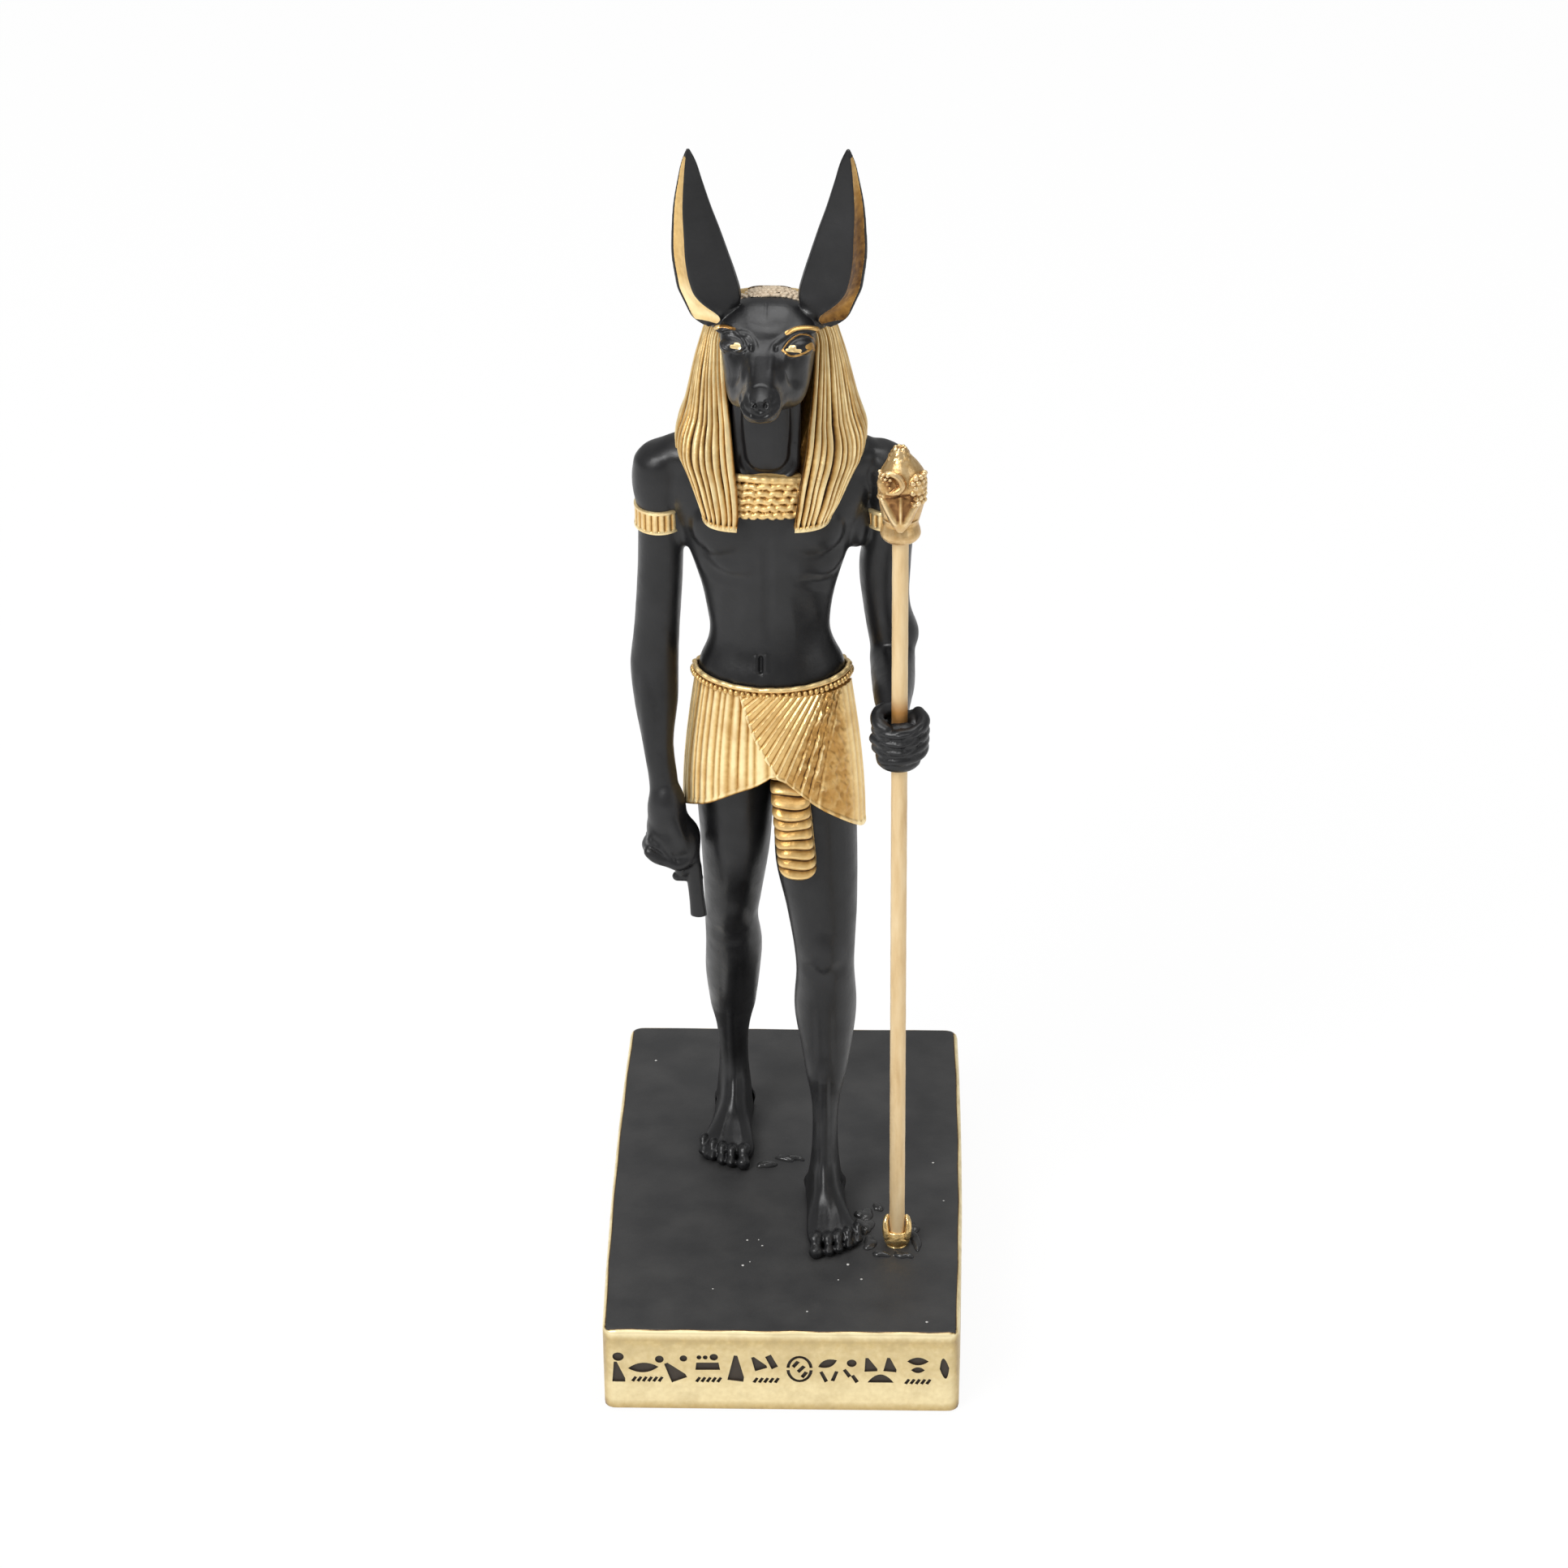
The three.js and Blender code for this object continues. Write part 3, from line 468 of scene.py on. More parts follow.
def goldTint(finish, colours, patchScale=260):
    # colours chosen by how deep the skin lies, as a dark wash and painted shade in hollows and painted
    # highlights on ridges, ragged by a fine grain, with thin patches of the amber colour, which stands for
    # worn thin paint and for painted shade
    washShadeAndHighlight = finish.level("washShadeAndHighlight")
    ragged = finish.sums("ADD", washShadeAndHighlight, finish.sums("MULTIPLY", finish.grain(1500, 4), 0.24))
    ragged = finish.sums("SUBTRACT", ragged, 0.12)
    crevice = tuple(part * 0.22 for part in colours["hollow"])
    tint = finish.ramp(ragged, (0.0, crevice), (0.11, colours["hollow"]), (0.28, colours["low"]),
                       (0.52, colours["middle"]), (0.82, colours["high"]))
    patches = finish.ramp(finish.grain(patchScale, 5), (0.48, 0), (0.75, 1))
    thinPaintAndShade = finish.sums("MULTIPLY", patches, 0.45)
    rubbedAndShaded = finish.ramp(finish.grain(620, 5), (0.38, 0), (0.6, 1))
    thinPaintAndShade = finish.sums("ADD", thinPaintAndShade, finish.sums("MULTIPLY", rubbedAndShaded, finish.level("worn")))
    thinPaintAndShade = finish.sums("MULTIPLY", thinPaintAndShade, finish.ramp(washShadeAndHighlight, (0.05, 0), (0.3, 1)))
    return finish.blend(thinPaintAndShade, tint, colours["worn"])


def goldPaint(name, colours, roughness=0.36, metallic=0.7, patchScale=260):
    finish = Finish(name)
    uneven = finish.ramp(finish.grain(700, 3), (0.3, roughness - 0.07), (0.7, roughness + 0.1))
    tint = goldTint(finish, colours, patchScale)
    finish.feed({"Base Color": tint, "Metallic": metallic, "Roughness": uneven})
    finish.roughen(2600, 4, 0.00006, 0.6)
    return finish.material


def resin(name, roughness, gilded=False, deep="deep", dusty="dusty", gold=goldColours, metallic=0.7):
    finish = Finish(name)
    clouds = finish.ramp(finish.grain(150, 4), (0.35, 0), (0.7, 1))
    tint = finish.blend(clouds, resinColours[deep], resinColours[dusty])
    rough = finish.ramp(finish.grain(420, 4), (0.3, roughness - 0.07), (0.72, roughness + 0.1))
    if gilded:
        edge = finish.sums("ADD", finish.level("gilt"), finish.sums("MULTIPLY", finish.grain(2200, 3), 0.2))
        mask = finish.ramp(finish.sums("SUBTRACT", edge, 0.1), (0.44, 0), (0.56, 1))
        tint = finish.blend(mask, tint, goldTint(finish, gold))
        rough = finish.blend(mask, rough, (0.34, 0.34, 0.34))
        finish.feed({"Metallic": finish.sums("MULTIPLY", mask, metallic)})
    finish.feed({"Base Color": tint, "Roughness": rough, "Specular IOR Level": 0.4})
    finish.roughen(1900, 5, 0.00004, 0.5)
    return finish.material


def rodPaint():
    finish = Finish("rodPaint")
    tint = finish.ramp(finish.grain(900, 4, (1, 1, 0.15)), (0.2, rodColours["dark"]),
                       (0.45, rodColours["middle"]), (0.75, rodColours["pale"]))
    # painted shadow of the fist, in amber
    amberShade = finish.ramp(finish.level("worn"), (0.0, rodColours["paleShadeAmber"]), (0.5, rodColours["amberShade"]),
                        (1.0, rodColours["deepShadeAmber"]))
    share = finish.ramp(finish.level("worn"), (0.02, 0), (0.3, 1))
    finish.feed({"Base Color": finish.blend(share, tint, amberShade), "Metallic": 0.35, "Roughness": 0.5})
    finish.roughen(2400, 4, 0.00008, 0.7)
    return finish.material


def plainFinish(name, colour, roughness):
    finish = Finish(name)
    darker = tuple(part * 0.7 for part in colour)
    finish.feed({"Base Color": finish.blend(finish.grain(1400, 4), darker, colour), "Roughness": roughness})
    return finish.material


blackResin = resin("blackResin", 0.36)
gildedResin = resin("gildedResin", 0.33, gilded=True)
plinthPaint = resin("plinthPaint", 0.5, True, "topDeep", "topDusty", paintColours, 0.35)
antiqueGold = goldPaint("antiqueGold", goldColours)
copperGold = goldPaint("copperGold", copperColours, 0.32, 0.8, 400)
paleRod = rodPaint()
print("finishes ready")


# Plinth: a block with bowed sides and worn edges, gold round the sides and black on top

plinth = {
    "width": 45.8, "depth": 71, "height": 12.5,
    "bow": 0.45, "corner": 1.5, "bevel": 0.62,
    "rim": 23,                # half the width that the top's inset is worked out on
    "stripMiddle": 6.7, "strokeDepth": 0.28,
    "cutterOut": 0.6,         # how far each stroke's cutter stands before the face
    "strokeGrow": (0.08, 0.1),
    "waver": 0.05,            # how unevenly the block was cast
}


def plinthOutline(turn):
    # a point on the rounded outline, going round once over 0 to 1
    halfX = plinth["width"] / 2
    halfY = plinth["depth"] / 2
    corner = plinth["corner"]
    angle = turn * 2 * np.pi
    reach = np.minimum(halfX / np.maximum(np.abs(np.cos(angle)), 1e-6),
                       halfY / np.maximum(np.abs(np.sin(angle)), 1e-6))
    x = reach * np.cos(angle)
    y = reach * np.sin(angle)
    overX = np.abs(x) - (halfX - corner)
    overY = np.abs(y) - (halfY - corner)
    inCorner = (overX > 0) & (overY > 0)
    length = np.maximum(np.hypot(overX, overY), 1e-6)
    x = np.where(inCorner, np.sign(x) * (halfX - corner + overX / length * corner), x)
    y = np.where(inCorner, np.sign(y) * (halfY - corner + overY / length * corner), y)
    bow = plinth["bow"] * np.clip(1 - (y / (halfY - corner)) ** 2, 0, 1)
    return x + np.sign(x) * bow * (np.abs(x) > halfX - corner), y


def makePlinth():
    height, bevel, rim = plinth["height"], plinth["bevel"], plinth["rim"]
    profile = [(0, 0), (0.5, 0), (0.985, 0), (1, 0.2), (1, 1.5)]
    profile += [(1, z) for z in np.linspace(2.5, height - bevel, 12)]
    profile += [(1 - bevel / rim * (1 - math.cos(turn)), height - bevel * (1 - math.sin(turn)))
                for turn in np.linspace(0.2, math.pi / 2, 9)]
    profile += [(1 - bevel / rim - step, height) for step in (0.006, 0.012, 0.03, 0.06, 0.12, 0.3, 0.6)]
    profile = np.array(profile + [(0, height)])

    def place(turn, share):
        x, y = plinthOutline(turn)
        at = share * (len(profile) - 1)
        scale = np.interp(at, np.arange(len(profile)), profile[:, 0])
        z = np.interp(at, np.arange(len(profile)), profile[:, 1])
        inset = (1 - scale) * rim
        shrinkX, shrinkY = (np.where(scale > 0.9, np.clip((away - inset) / np.maximum(away, 1e-6), 0, 1),
                                     scale) for away in (np.abs(x), np.abs(y)))
        waver = np.sin(turn * 61) + np.sin(turn * 37 + z) + np.sin(z * 0.9 + turn * 23)
        waver = plinth["waver"] * waver / 3
        waver = waver * (z > 1) * (scale > 0.9)
        sink = 0.07 * (np.sin(turn * 83) + np.sin(turn * 47 + 2)) / 2 * (z > height - bevel)
        return (x * shrinkX * (1 + waver / 60), y * shrinkY * (1 + waver / 90),
                z - np.abs(sink) * rise(scale, 0.85, 0.1))

    return sheet("plinth_block", 560, len(profile) - 1, place)


def cutStroke(outline, x, z, width, height, turn=0):
    # a shallow prism across the front face, from a small outline of -0.5 to 0.5 each way
    cosine, sine = math.cos(math.radians(turn)), math.sin(math.radians(turn))
    clearSelection()
    bpy.ops.mesh.primitive_circle_add(vertices=len(outline), radius=1, fill_type="NGON")
    cutter = bpy.context.object
    cutter.name = "stroke"
    out = plinth["cutterOut"]
    setPoints(cutter, np.array([(x + a * width * cosine - b * height * sine, -plinth["depth"] / 2 - out,
                                 z + a * width * sine + b * height * cosine) for a, b in outline]))
    editAll()
    bpy.ops.mesh.extrude_region_move(TRANSFORM_OT_translate={"value": (0, out + plinth["strokeDepth"], 0)})
    endEdit()
    return cutter


def arc(count, start, end, halfX=0.5, halfY=0.5):
    return [(halfX * math.cos(turn), halfY * math.sin(turn))
            for turn in np.radians(np.linspace(start, end, count))]


strokeShapes = {
    "bar": [(-0.5, -0.5), (0.5, -0.46), (0.44, 0.5), (-0.46, 0.47)],
    "disc": arc(15, 0, 336),
    "lens": [(x, -0.5 * (1 - 4 * x * x)) for x in np.linspace(-0.5, 0.5, 9)]
            + [(x, 0.5 * (1 - 4 * x * x)) for x in np.linspace(0.375, -0.375, 7)],
    "hump": [(-0.5, -0.5), (0.5, -0.5)] + [(x, 0.5 - 4 * x * x) for x in np.linspace(0.42, -0.42, 9)],
    "wedge": [(-0.5, -0.5), (0.5, -0.5), (0.5, -0.32), (-0.12, 0.5), (-0.34, 0.5)],
    "ringHalf": arc(13, 4, 176) + arc(13, 176, 4, 0.38, 0.41),
}
# each stroke of the strip: shape, x, height over the strip's middle, width, height, turn
stripStrokes = [
    ("disc", -20.9, 1.7, 1.4, 1.25, 0), ("wedge", -20.9, -0.7, 1.6, 3.1, 0),
    ("lens", -17.7, 0.0, 3.9, 1.45, 4), ("disc", -15.6, 1.35, 1.05, 1.05, 0),
    ("wedge", -13.7, -0.5, 2.1, 3.0, 24), ("disc", -12.5, 1.5, 0.9, 0.9, 0),
    ("bar", -9.4, 0.3, 3.1, 1.1, 0), ("disc", -10.5, 1.7, 0.55, 0.55, 0), ("disc", -9.7, 1.7, 0.55, 0.55, 0),
    ("disc", -8.6, 1.75, 1.0, 0.95, 0),
    ("wedge", -5.6, 0.0, 2.0, 3.9, -8),
    ("wedge", -2.9, 0.9, 1.6, 2.1, 20), ("bar", -1.2, 1.1, 0.85, 2.1, 24),
    ("ringHalf", 2.4, 0.05, 3.3, 4.0, 0), ("ringHalf", 2.4, -0.05, 3.3, 4.0, 180),
    ("bar", 1.9, 0.75, 1.1, 0.42, 52), ("bar", 2.6, 0.0, 1.2, 0.42, 48), ("bar", 3.0, -0.9, 1.0, 0.42, 55),
    ("lens", 6.0, 0.9, 2.6, 1.15, 24), ("bar", 5.5, -1.2, 0.42, 1.7, 24), ("bar", 6.9, -1.1, 0.42, 1.6, -20),
    ("disc", 9.1, 1.0, 1.2, 1.1, 0), ("bar", 8.5, -0.6, 0.45, 1.3, 32), ("bar", 9.5, -1.5, 0.45, 1.2, 30),
    ("wedge", 11.5, 0.8, 1.6, 2.1, 4), ("wedge", 14.1, 0.8, 1.6, 2.1, -6), ("hump", 12.8, -1.4, 3.3, 1.2, 0),
    ("lens", 17.6, 1.4, 2.7, 1.15, 0), ("lens", 17.6, 0.0, 1.7, 0.85, 0),
    ("lens", 21.0, 0.3, 1.15, 3.2, 6),
]
# rows of slanted dashes between them
stripDashes = [("bar", x + 0.68 * (step - (count - 1) / 2), -1.85, 0.34, 0.8, -32)
               for x, count in ((-17.2, 6), (-9.3, 5), (-1.9, 5), (17.6, 5)) for step in range(count)]


def engrave(piece):
    engraving = plainFinish("engraving", (0.040, 0.028, 0.018), 0.6)
    wider, higher = plinth["strokeGrow"]
    middle = plinth["stripMiddle"]
    cutters = [cutStroke(strokeShapes[shape], x, middle + z, width + wider, height + higher, turn)
               for shape, x, z, width, height, turn in stripStrokes + stripDashes]
    for cutter in cutters:
        cutter.data.materials.append(engraving)
    cutter = cutters[0]
    joinTo(cutter, cutters[1:])
    editAll()
    bpy.ops.mesh.normals_make_consistent(inside=False)
    endEdit()
    piece.data.materials.append(plinthPaint)
    modify(piece, "BOOLEAN", operation="DIFFERENCE", solver="MANIFOLD", object=cutter,
           material_mode="TRANSFER")
    bpy.data.objects.remove(cutter)


def finishPlinth():
    piece = makePlinth()
    engrave(piece)
    points = getPoints(piece)
    x, y, z = points.T
    height, bevel = plinth["height"], plinth["bevel"]
    halfX, halfY = plinth["width"] / 2, plinth["depth"] / 2
    bow = plinth["bow"] * np.clip(1 - (y / (halfY - plinth["corner"])) ** 2, 0, 1)
    inset = np.minimum(halfX + bow - np.abs(x), halfY - np.abs(y))
    border = bevel * 0.85 + 0.05 * np.sin(x * 0.9) + 0.05 * np.sin(y * 0.43 + 1)
    gilt = np.maximum(np.clip((border - inset) / 0.08 + 0.5, 0, 1), z < height - 0.22)
    setLevel(piece, "gilt", gilt)
    # painted shade: the front face is painted darker toward its two side corners
    corner = np.clip(1 - (23.1 - np.abs(x)) / 1.1, 0, 1) * (y < -34)
    low = np.clip(1 - z / 0.8, 0, 1)
    edge = np.clip((inset - border + 0.2) / 0.1, 0, 1) * (z > height - 0.3)     # a dark line by the black
    # painted highlight: a bright line painted along the bevel under the top
    bright = np.exp(-((z - (height - 0.4)) / 0.18) ** 2)
    upper = rise(z, 3.6, 3) * (z < 11.8)
    smudge = rise(z, 9.7, 1.2) * (z < 11.7)
    washShadeAndHighlight = 0.76 - 0.4 * corner - 0.45 * low - 0.7 * edge + 0.25 * bright - 0.13 * upper - 0.14 * smudge
    setLevel(piece, "washShadeAndHighlight", np.clip(washShadeAndHighlight, 0, 1))
    worn = np.clip(0.22 * upper + 0.5 * smudge + 0.4 * corner + 0.35 * low, 0, 1)
    setLevel(piece, "worn", worn * (y < -30) + 0.35 * (y > -30))
    finishPiece(piece, plinthPaint, "plinth", raised=False, sharp=40)


finishPlinth()

specks = {"size": 0.16, "places": [(-4.9, -15.5), (-3.4, -15.4), (-2.9, -16.7), (-5.3, -21.1), (-4.4, -20.3),
                                   (-9.0, -26.3), (7.2, -24.1), (8.4, -20.7), (19.5, 2.6), (20.9, -6.2),
                                   (18.7, -33), (3.3, -31), (14.4, -18.6), (10.2, -23.9), (-19, 26.8)]}
# glue pressed out round the soles and the staff's foot: x, y, half width, half depth
smears = {"drops": 4, "voxel": 0.12, "triangles": 8000,
          "places": [(10.4, -13.2, 1.1, 2.6), (11.4, -16.0, 0.9, 1.9), (10.2, -9.6, 1.1, 1.7),
                     (12.1, -7.6, 0.7, 1.3), (17.3, -15.2, 0.8, 2.6), (16.9, -12.2, 1.0, 1.4),
                     (12.8, -18.2, 1.3, 0.8), (15.8, -18.4, 1.5, 0.8), (0.4, 3.0, 2.0, 0.8),
                     (-3.2, 1.6, 1.6, 0.8)]}


def makeDirt():
    piece = startPiece("plinth_specks")
    for x, y in specks["places"]:
        size = specks["size"] * chance.uniform(0.6, 1.3)
        swell(x, y, 0.02, size, size * chance.uniform(0.7, 1.2), 0.06, segments=8)
    endEdit()
    finishPiece(piece, plainFinish("dust", (0.56, 0.55, 0.53), 0.7), "plinth")
    piece = startPiece("glue_smears")
    for x, y, halfX, halfY in smears["places"]:
        for _ in range(smears["drops"]):
            swell(x + chance.uniform(-0.5, 0.5) * halfX, y + chance.uniform(-0.5, 0.5) * halfY, 0.0,
                  halfX * chance.uniform(0.5, 0.85), halfY * chance.uniform(0.4, 0.7),
                  chance.uniform(0.4, 0.65), turnZ=chance.uniform(-30, 30), segments=16)
    endEdit()
    fuse(piece, smears["voxel"], 5)
    thin(piece, smears["triangles"])
    finishPiece(piece, resin("glue", 0.12, deep="topDeep", dusty="topDusty"), "plinth")


makeDirt()
print("plinth done")


# Staff

staff = {
    "radius": 1, "foot": 2.3, "top": 106, "waver": 0.012,
    "fistTop": 80,            # round the fist's top the rod is painted amber, as the fist's painted shadow
}
ferrule = {
    # x and y from the rod's middle, height, half width, half depth
    "cup": [[0, 0, -0.02, 1.45, 1.35], [0, 0, 0.6, 1.6, 1.45], [0, 0, 1.5, 1.65, 1.45],
            [0, 0, 2.3, 1.5, 1.2]],
    "ball": (0, -0.1, 0.9, 1.75, 1.6, 1.05),
    # the prongs of one side: x outward, y, height, radius
    "prongs": [[[1.35, -0.7, 1.7, 0.5], [1.5, -0.5, 2.8, 0.45], [1.45, -0.1, 3.7, 0.38],
                [1.25, 0.3, 4.2, 0.3]],
               [[1.4, 0.9, 1.7, 0.5], [1.5, 0.6, 2.9, 0.42], [1.4, 0.4, 3.9, 0.34]]],
    "dent": [(-0.9, -1.7, 0.75), (0.9, -1.7, 0.75)],
    "voxel": 0.1, "triangles": 10000,
}
finial = {
    "from": 103.4,            # its lower end; all below is from there and from the rod's middle
    # x, y, height, half width, half depth
    "socket": [[0, 0, 0, 2.05, 2.05], [0, 0, 0.5, 2.4, 2.4], [0, 0, 1.6, 2.35, 2.35], [0, 0, 2.5, 2.15, 2.1],
               [0, 0, 3.2, 2.3, 2.2]],
    "bud": [[0, 0.3, 2, 2.1, 1.9], [0.1, 0.3, 4.5, 2.6, 2.4], [0.2, 0.2, 7, 2.95, 2.7],
            [0.2, 0.2, 9.6, 2.75, 2.5], [0.1, 0.2, 11.2, 1.9, 1.9], [-0.1, 0.2, 12.3, 1.25, 1.3],
            [-0.1, 0.2, 13.2, 0.85, 0.9]],
    "wedge": [[0, -2.55, 2.3, 0.35, 0.3], [0, -2.3, 3.2, 1.1, 0.7], [0, -1.9, 5.4, 2.0, 1.1],
              [0, -1.5, 7.6, 2.8, 1.2]],
    # the hood's two cheeks and the ledge under the left one: middle, half sizes, turns
    "hood": [(-1.3, -1.5, 8.6, 1.45, 1.2, 1.9, 0, -24), (1.65, -1.4, 8.4, 1.3, 1.3, 2.0, 0, 12),
             (-1.9, -1.5, 6.9, 1.0, 0.9, 0.55, 0, 18)],
    "stud": (0, -2.5, 2.9, 0.55, 0.4, 0.6),
    "crescent": [[-2.3, -1.6, 9.9, 0.3], [-1.5, -2.2, 10.8, 0.36], [-0.3, -2.4, 10.3, 0.42],
                 [0.2, -2.5, 9.1, 0.45], [-0.7, -2.5, 8.1, 0.55], [-1.8, -2.1, 7.6, 0.55]],
    # ridges and grooves of the wedge: points, width, height
    "marks": [([(-2.4, -1.9, 7.2), (-1.3, -2.5, 4.8), (-0.35, -2.7, 3.0)], 0.4, 0.2),
              ([(2.4, -1.9, 7.0), (1.3, -2.5, 4.8), (0.35, -2.7, 3.0)], 0.4, 0.16),
              ([(0, -2.6, 7.2), (0, -2.6, 3.2)], 0.35, 0.14),
              ([(-1, -2.5, 6.0), (-0.45, -2.7, 4.2)], 0.65, -0.16),
              ([(1, -2.5, 6.0), (0.45, -2.7, 4.2)], 0.65, -0.12),
              ([(-2.2, -1.7, 7.1), (0, -2.6, 7.5), (1.2, -2.4, 7.0)], 0.35, -0.1)],
    "crestRows": 3, "scaleRows": 6, "scales": 4,
    "squash": 0.9,            # drawn down to the head's height
    "voxel": 0.1, "triangles": 50000,
}


def makeRod():
    def place(turn, share):
        angle = turn * 2 * np.pi
        z = staff["foot"] + (staff["top"] - staff["foot"]) * rise(share, 0.02, 0.96)
        radius = staff["radius"] * np.where(ends(share), 0.02, 1)
        waver = staff["waver"] * np.sin(z * 1.7 + np.sin(z * 0.6)) * np.sin(angle * 2 + z * 0.3)
        radius = radius * (1 + waver)
        # painted shadow: amber on the rod round the fist's top, deepest lower down
        amberShade = np.clip((staff["fistTop"] + 3.6 - z) / 4.6, 0, 1) * (z > staff["fistTop"] - 6)
        return (general["staffX"] + radius * np.cos(angle), general["staffY"] + radius * np.sin(angle), z,
                0.5 + 0 * z, 0.75 * amberShade)

    finishPiece(sheet("rod", 24, 170, place), paleRod, "staff_rod", sharp=50)


def makeFerrule():
    x, y = general["staffX"], general["staffY"]
    piece = startPiece("ferrule")
    swell(*moved([ferrule["ball"]], x, y)[0])
    limb(moved(ferrule["cup"], x, y), pitch=0.4)
    endEdit()
    joinTo(piece, [finger(moved([[side * out, *rest] for out, *rest in prong], x, y), 0.25, (0, 1, 0))
                   for side in (-1, 1) for prong in ferrule["prongs"]])
    fuse(piece, ferrule["voxel"], 8)
    carve(piece, [(moved(ferrule["dent"], x, y), 0.8, -0.3)])
    points = getPoints(piece)
    points[:, 2] = np.maximum(points[:, 2], 0.0)
    setPoints(piece, points)
    hollows(piece, 0.2, 20)
    thin(piece, ferrule["triangles"])
    finishPiece(piece, goldPaint("brightGold", goldColours, 0.2, 0.9), "staff_foot")


def makeFinial():
    x, y, z = general["staffX"], general["staffY"], finial["from"]
    piece = startPiece("finial")
    for part, pitch in (("socket", 0.4), ("bud", 0.5), ("wedge", 0.4)):
        limb(moved(finial[part], x, y, z), pitch=pitch)
    for egg in moved(finial["hood"], x, y, z):
        swell(*egg)
    for row in range(finial["crestRows"]):        # beads of the crest
        for step in range(9 - row):
            turn = 2 * math.pi * (step + row / 2) / (9 - row)
            reach = 1.2 - 0.3 * row
            swell(x - 0.1 + reach * math.cos(turn), y + 0.2 + reach * math.sin(turn), z + 11.75 + 0.6 * row,
                  0.36, 0.36, 0.6, segments=10)
    for row in range(finial["scaleRows"]):        # lozenge scales on the right cheek, round ones on the left
        for step in range(finial["scales"]):
            turn = math.radians(-82 + 24 * (step + row % 2 / 2))
            swell(x + 1.25 + 1.6 * math.cos(turn), y - 1.0 + 1.6 * math.sin(turn), z + 6.5 + 0.75 * row,
                  0.4, 0.32, 0.42, segments=8)
            turn = math.radians(-100 - 24 * (step + row % 2 / 2))
            swell(x - 1.0 + 1.5 * math.cos(turn), y - 1.3 + 1.35 * math.sin(turn), z + 7.6 + 0.6 * row,
                  0.26, 0.2, 0.26, segments=8)
    swell(*moved([finial["stud"]], x, y, z)[0])
    endEdit()
    joinTo(piece, [finger(moved(finial["crescent"], x, y, z), 0.3, (0, 1, 0))])
    fuse(piece, finial["voxel"], 3)
    carve(piece, [(moved(line, x, y, z), width, height) for line, width, height in finial["marks"]])
    hollows(piece, 0.1, 14)
    thin(piece, finial["triangles"])
    paintFinial(piece, x, y, z)
    points = getPoints(piece)
    points[:, 2] = z + 0.9 + (points[:, 2] - z) * finial["squash"]
    setPoints(piece, points)
    finishPiece(piece, copperGold, "staff_head")


def paintFinial(piece, x, y, z):
    # the wedge in front is painted dark but for its ridge, and one hollow on the hood is browned as painted
    # shade
    points = getPoints(piece)
    across, up = points[:, 0] - x, points[:, 2] - z
    inside = rise(up, 3.2, 4.2) * 2.1 - np.abs(across)
    dark = np.clip(inside / 0.3, 0, 1) * (points[:, 1] < y - 1.2) * (points[:, 2] < z + 7.9)
    recessShade = np.exp(-(np.hypot(across + 1.3, up - 9.3) / 0.85) ** 2) * (points[:, 1] < y)
    ridge = np.clip(1 - np.abs(across) / 0.22, 0, 1)
    washShadeAndHighlight = np.empty(len(points), np.float32)
    piece.data.attributes["washShadeAndHighlight"].data.foreach_get("value", washShadeAndHighlight)
    washShadeAndHighlight = 0.55 + 0.7 * (washShadeAndHighlight - 0.5) - dark * (0.32 - 0.24 * ridge) - 0.34 * recessShade
    setLevel(piece, "washShadeAndHighlight", np.clip(washShadeAndHighlight, 0.13, 0.9))


makeRod()
makeFerrule()
makeFinial()
print("staff done")


# Legs: one skin for each, from under the kilt down to the toes

legs = {
    # x, y, height, half width, half depth
    "rear": [[-6.4, 4.2, 64, 5.0, 4.9], [-6.4, 4.2, 60, 5.2, 5.2], [-6.45, 4.4, 55, 4.9, 5.3],
             [-6.5, 4.5, 49.3, 4.5, 5.2], [-7, 6, 41, 3.8, 4.4], [-7.3, 7.1, 36.4, 3.5, 4],
             [-7.1, 8.2, 32.6, 3.7, 4], [-7.4, 11, 25.2, 3.6, 4.5],
             [-7.5, 12.5, 20.3, 3.15, 3.9], [-7.6, 13.8, 14.6, 2.5, 2.9], [-7.6, 14.5, 9.4, 2.3, 2.6],
             [-7.6, 14.9, 3.4, 2.7, 3.2], [-7.6, 15, -0.6, 2.7, 3.4]],
    "front": [[3.7, 1.9, 64, 5.0, 4.8], [3.8, 1.7, 60, 5.2, 5.3], [3.95, 1.1, 55.5, 5.3, 5.4],
              [4.1, 0, 49.4, 5.3, 5.3], [4.75, -1.2, 43.4, 4.6, 4.7], [5.2, -2.7, 35.4, 3.8, 4],
              [5.2, -1.8, 27.6, 4.05, 4.5],
              [5.3, -2.6, 22.2, 3.25, 3.7], [5.25, -3.9, 17.8, 2.5, 2.9], [5.2, -4.9, 13, 2.05, 2.45],
              [5.15, -5.4, 8, 2.1, 2.5], [5.1, -5.4, 3.4, 2.5, 3], [5.1, -5.2, -0.6, 2.6, 3.3]],
    "rearFoot": [[-7.6, 18.4, 1.2, 1.2, 1.4], [-7.6, 17.2, 1.6, 2.5, 2.4], [-7.6, 14, 1.8, 2.6, 2.9],
                 [-7.8, 10, 1.5, 2.7, 2.9], [-8.1, 6.6, 1, 3.3, 2.4], [-8.2, 4.2, 0.7, 3.7, 1.7],
                 [-8.3, 2.6, 0.6, 3.2, 1.1]],
    "frontFoot": [[5.1, -1.6, 1.2, 1.2, 1.4], [5.1, -2.8, 1.6, 2.5, 2.4], [5.1, -6, 1.8, 2.6, 2.9],
                  [5.5, -10, 1.5, 2.7, 2.9], [6, -13.4, 1, 3.2, 2.4], [6.4, -15.6, 0.7, 3.5, 1.7],
                  [6.5, -17.2, 0.6, 3.1, 1.1]],
    "coarse": 0.24, "voxel": 0.17,
    "eased": 260,             # rounds that draw the ankle smooth
}


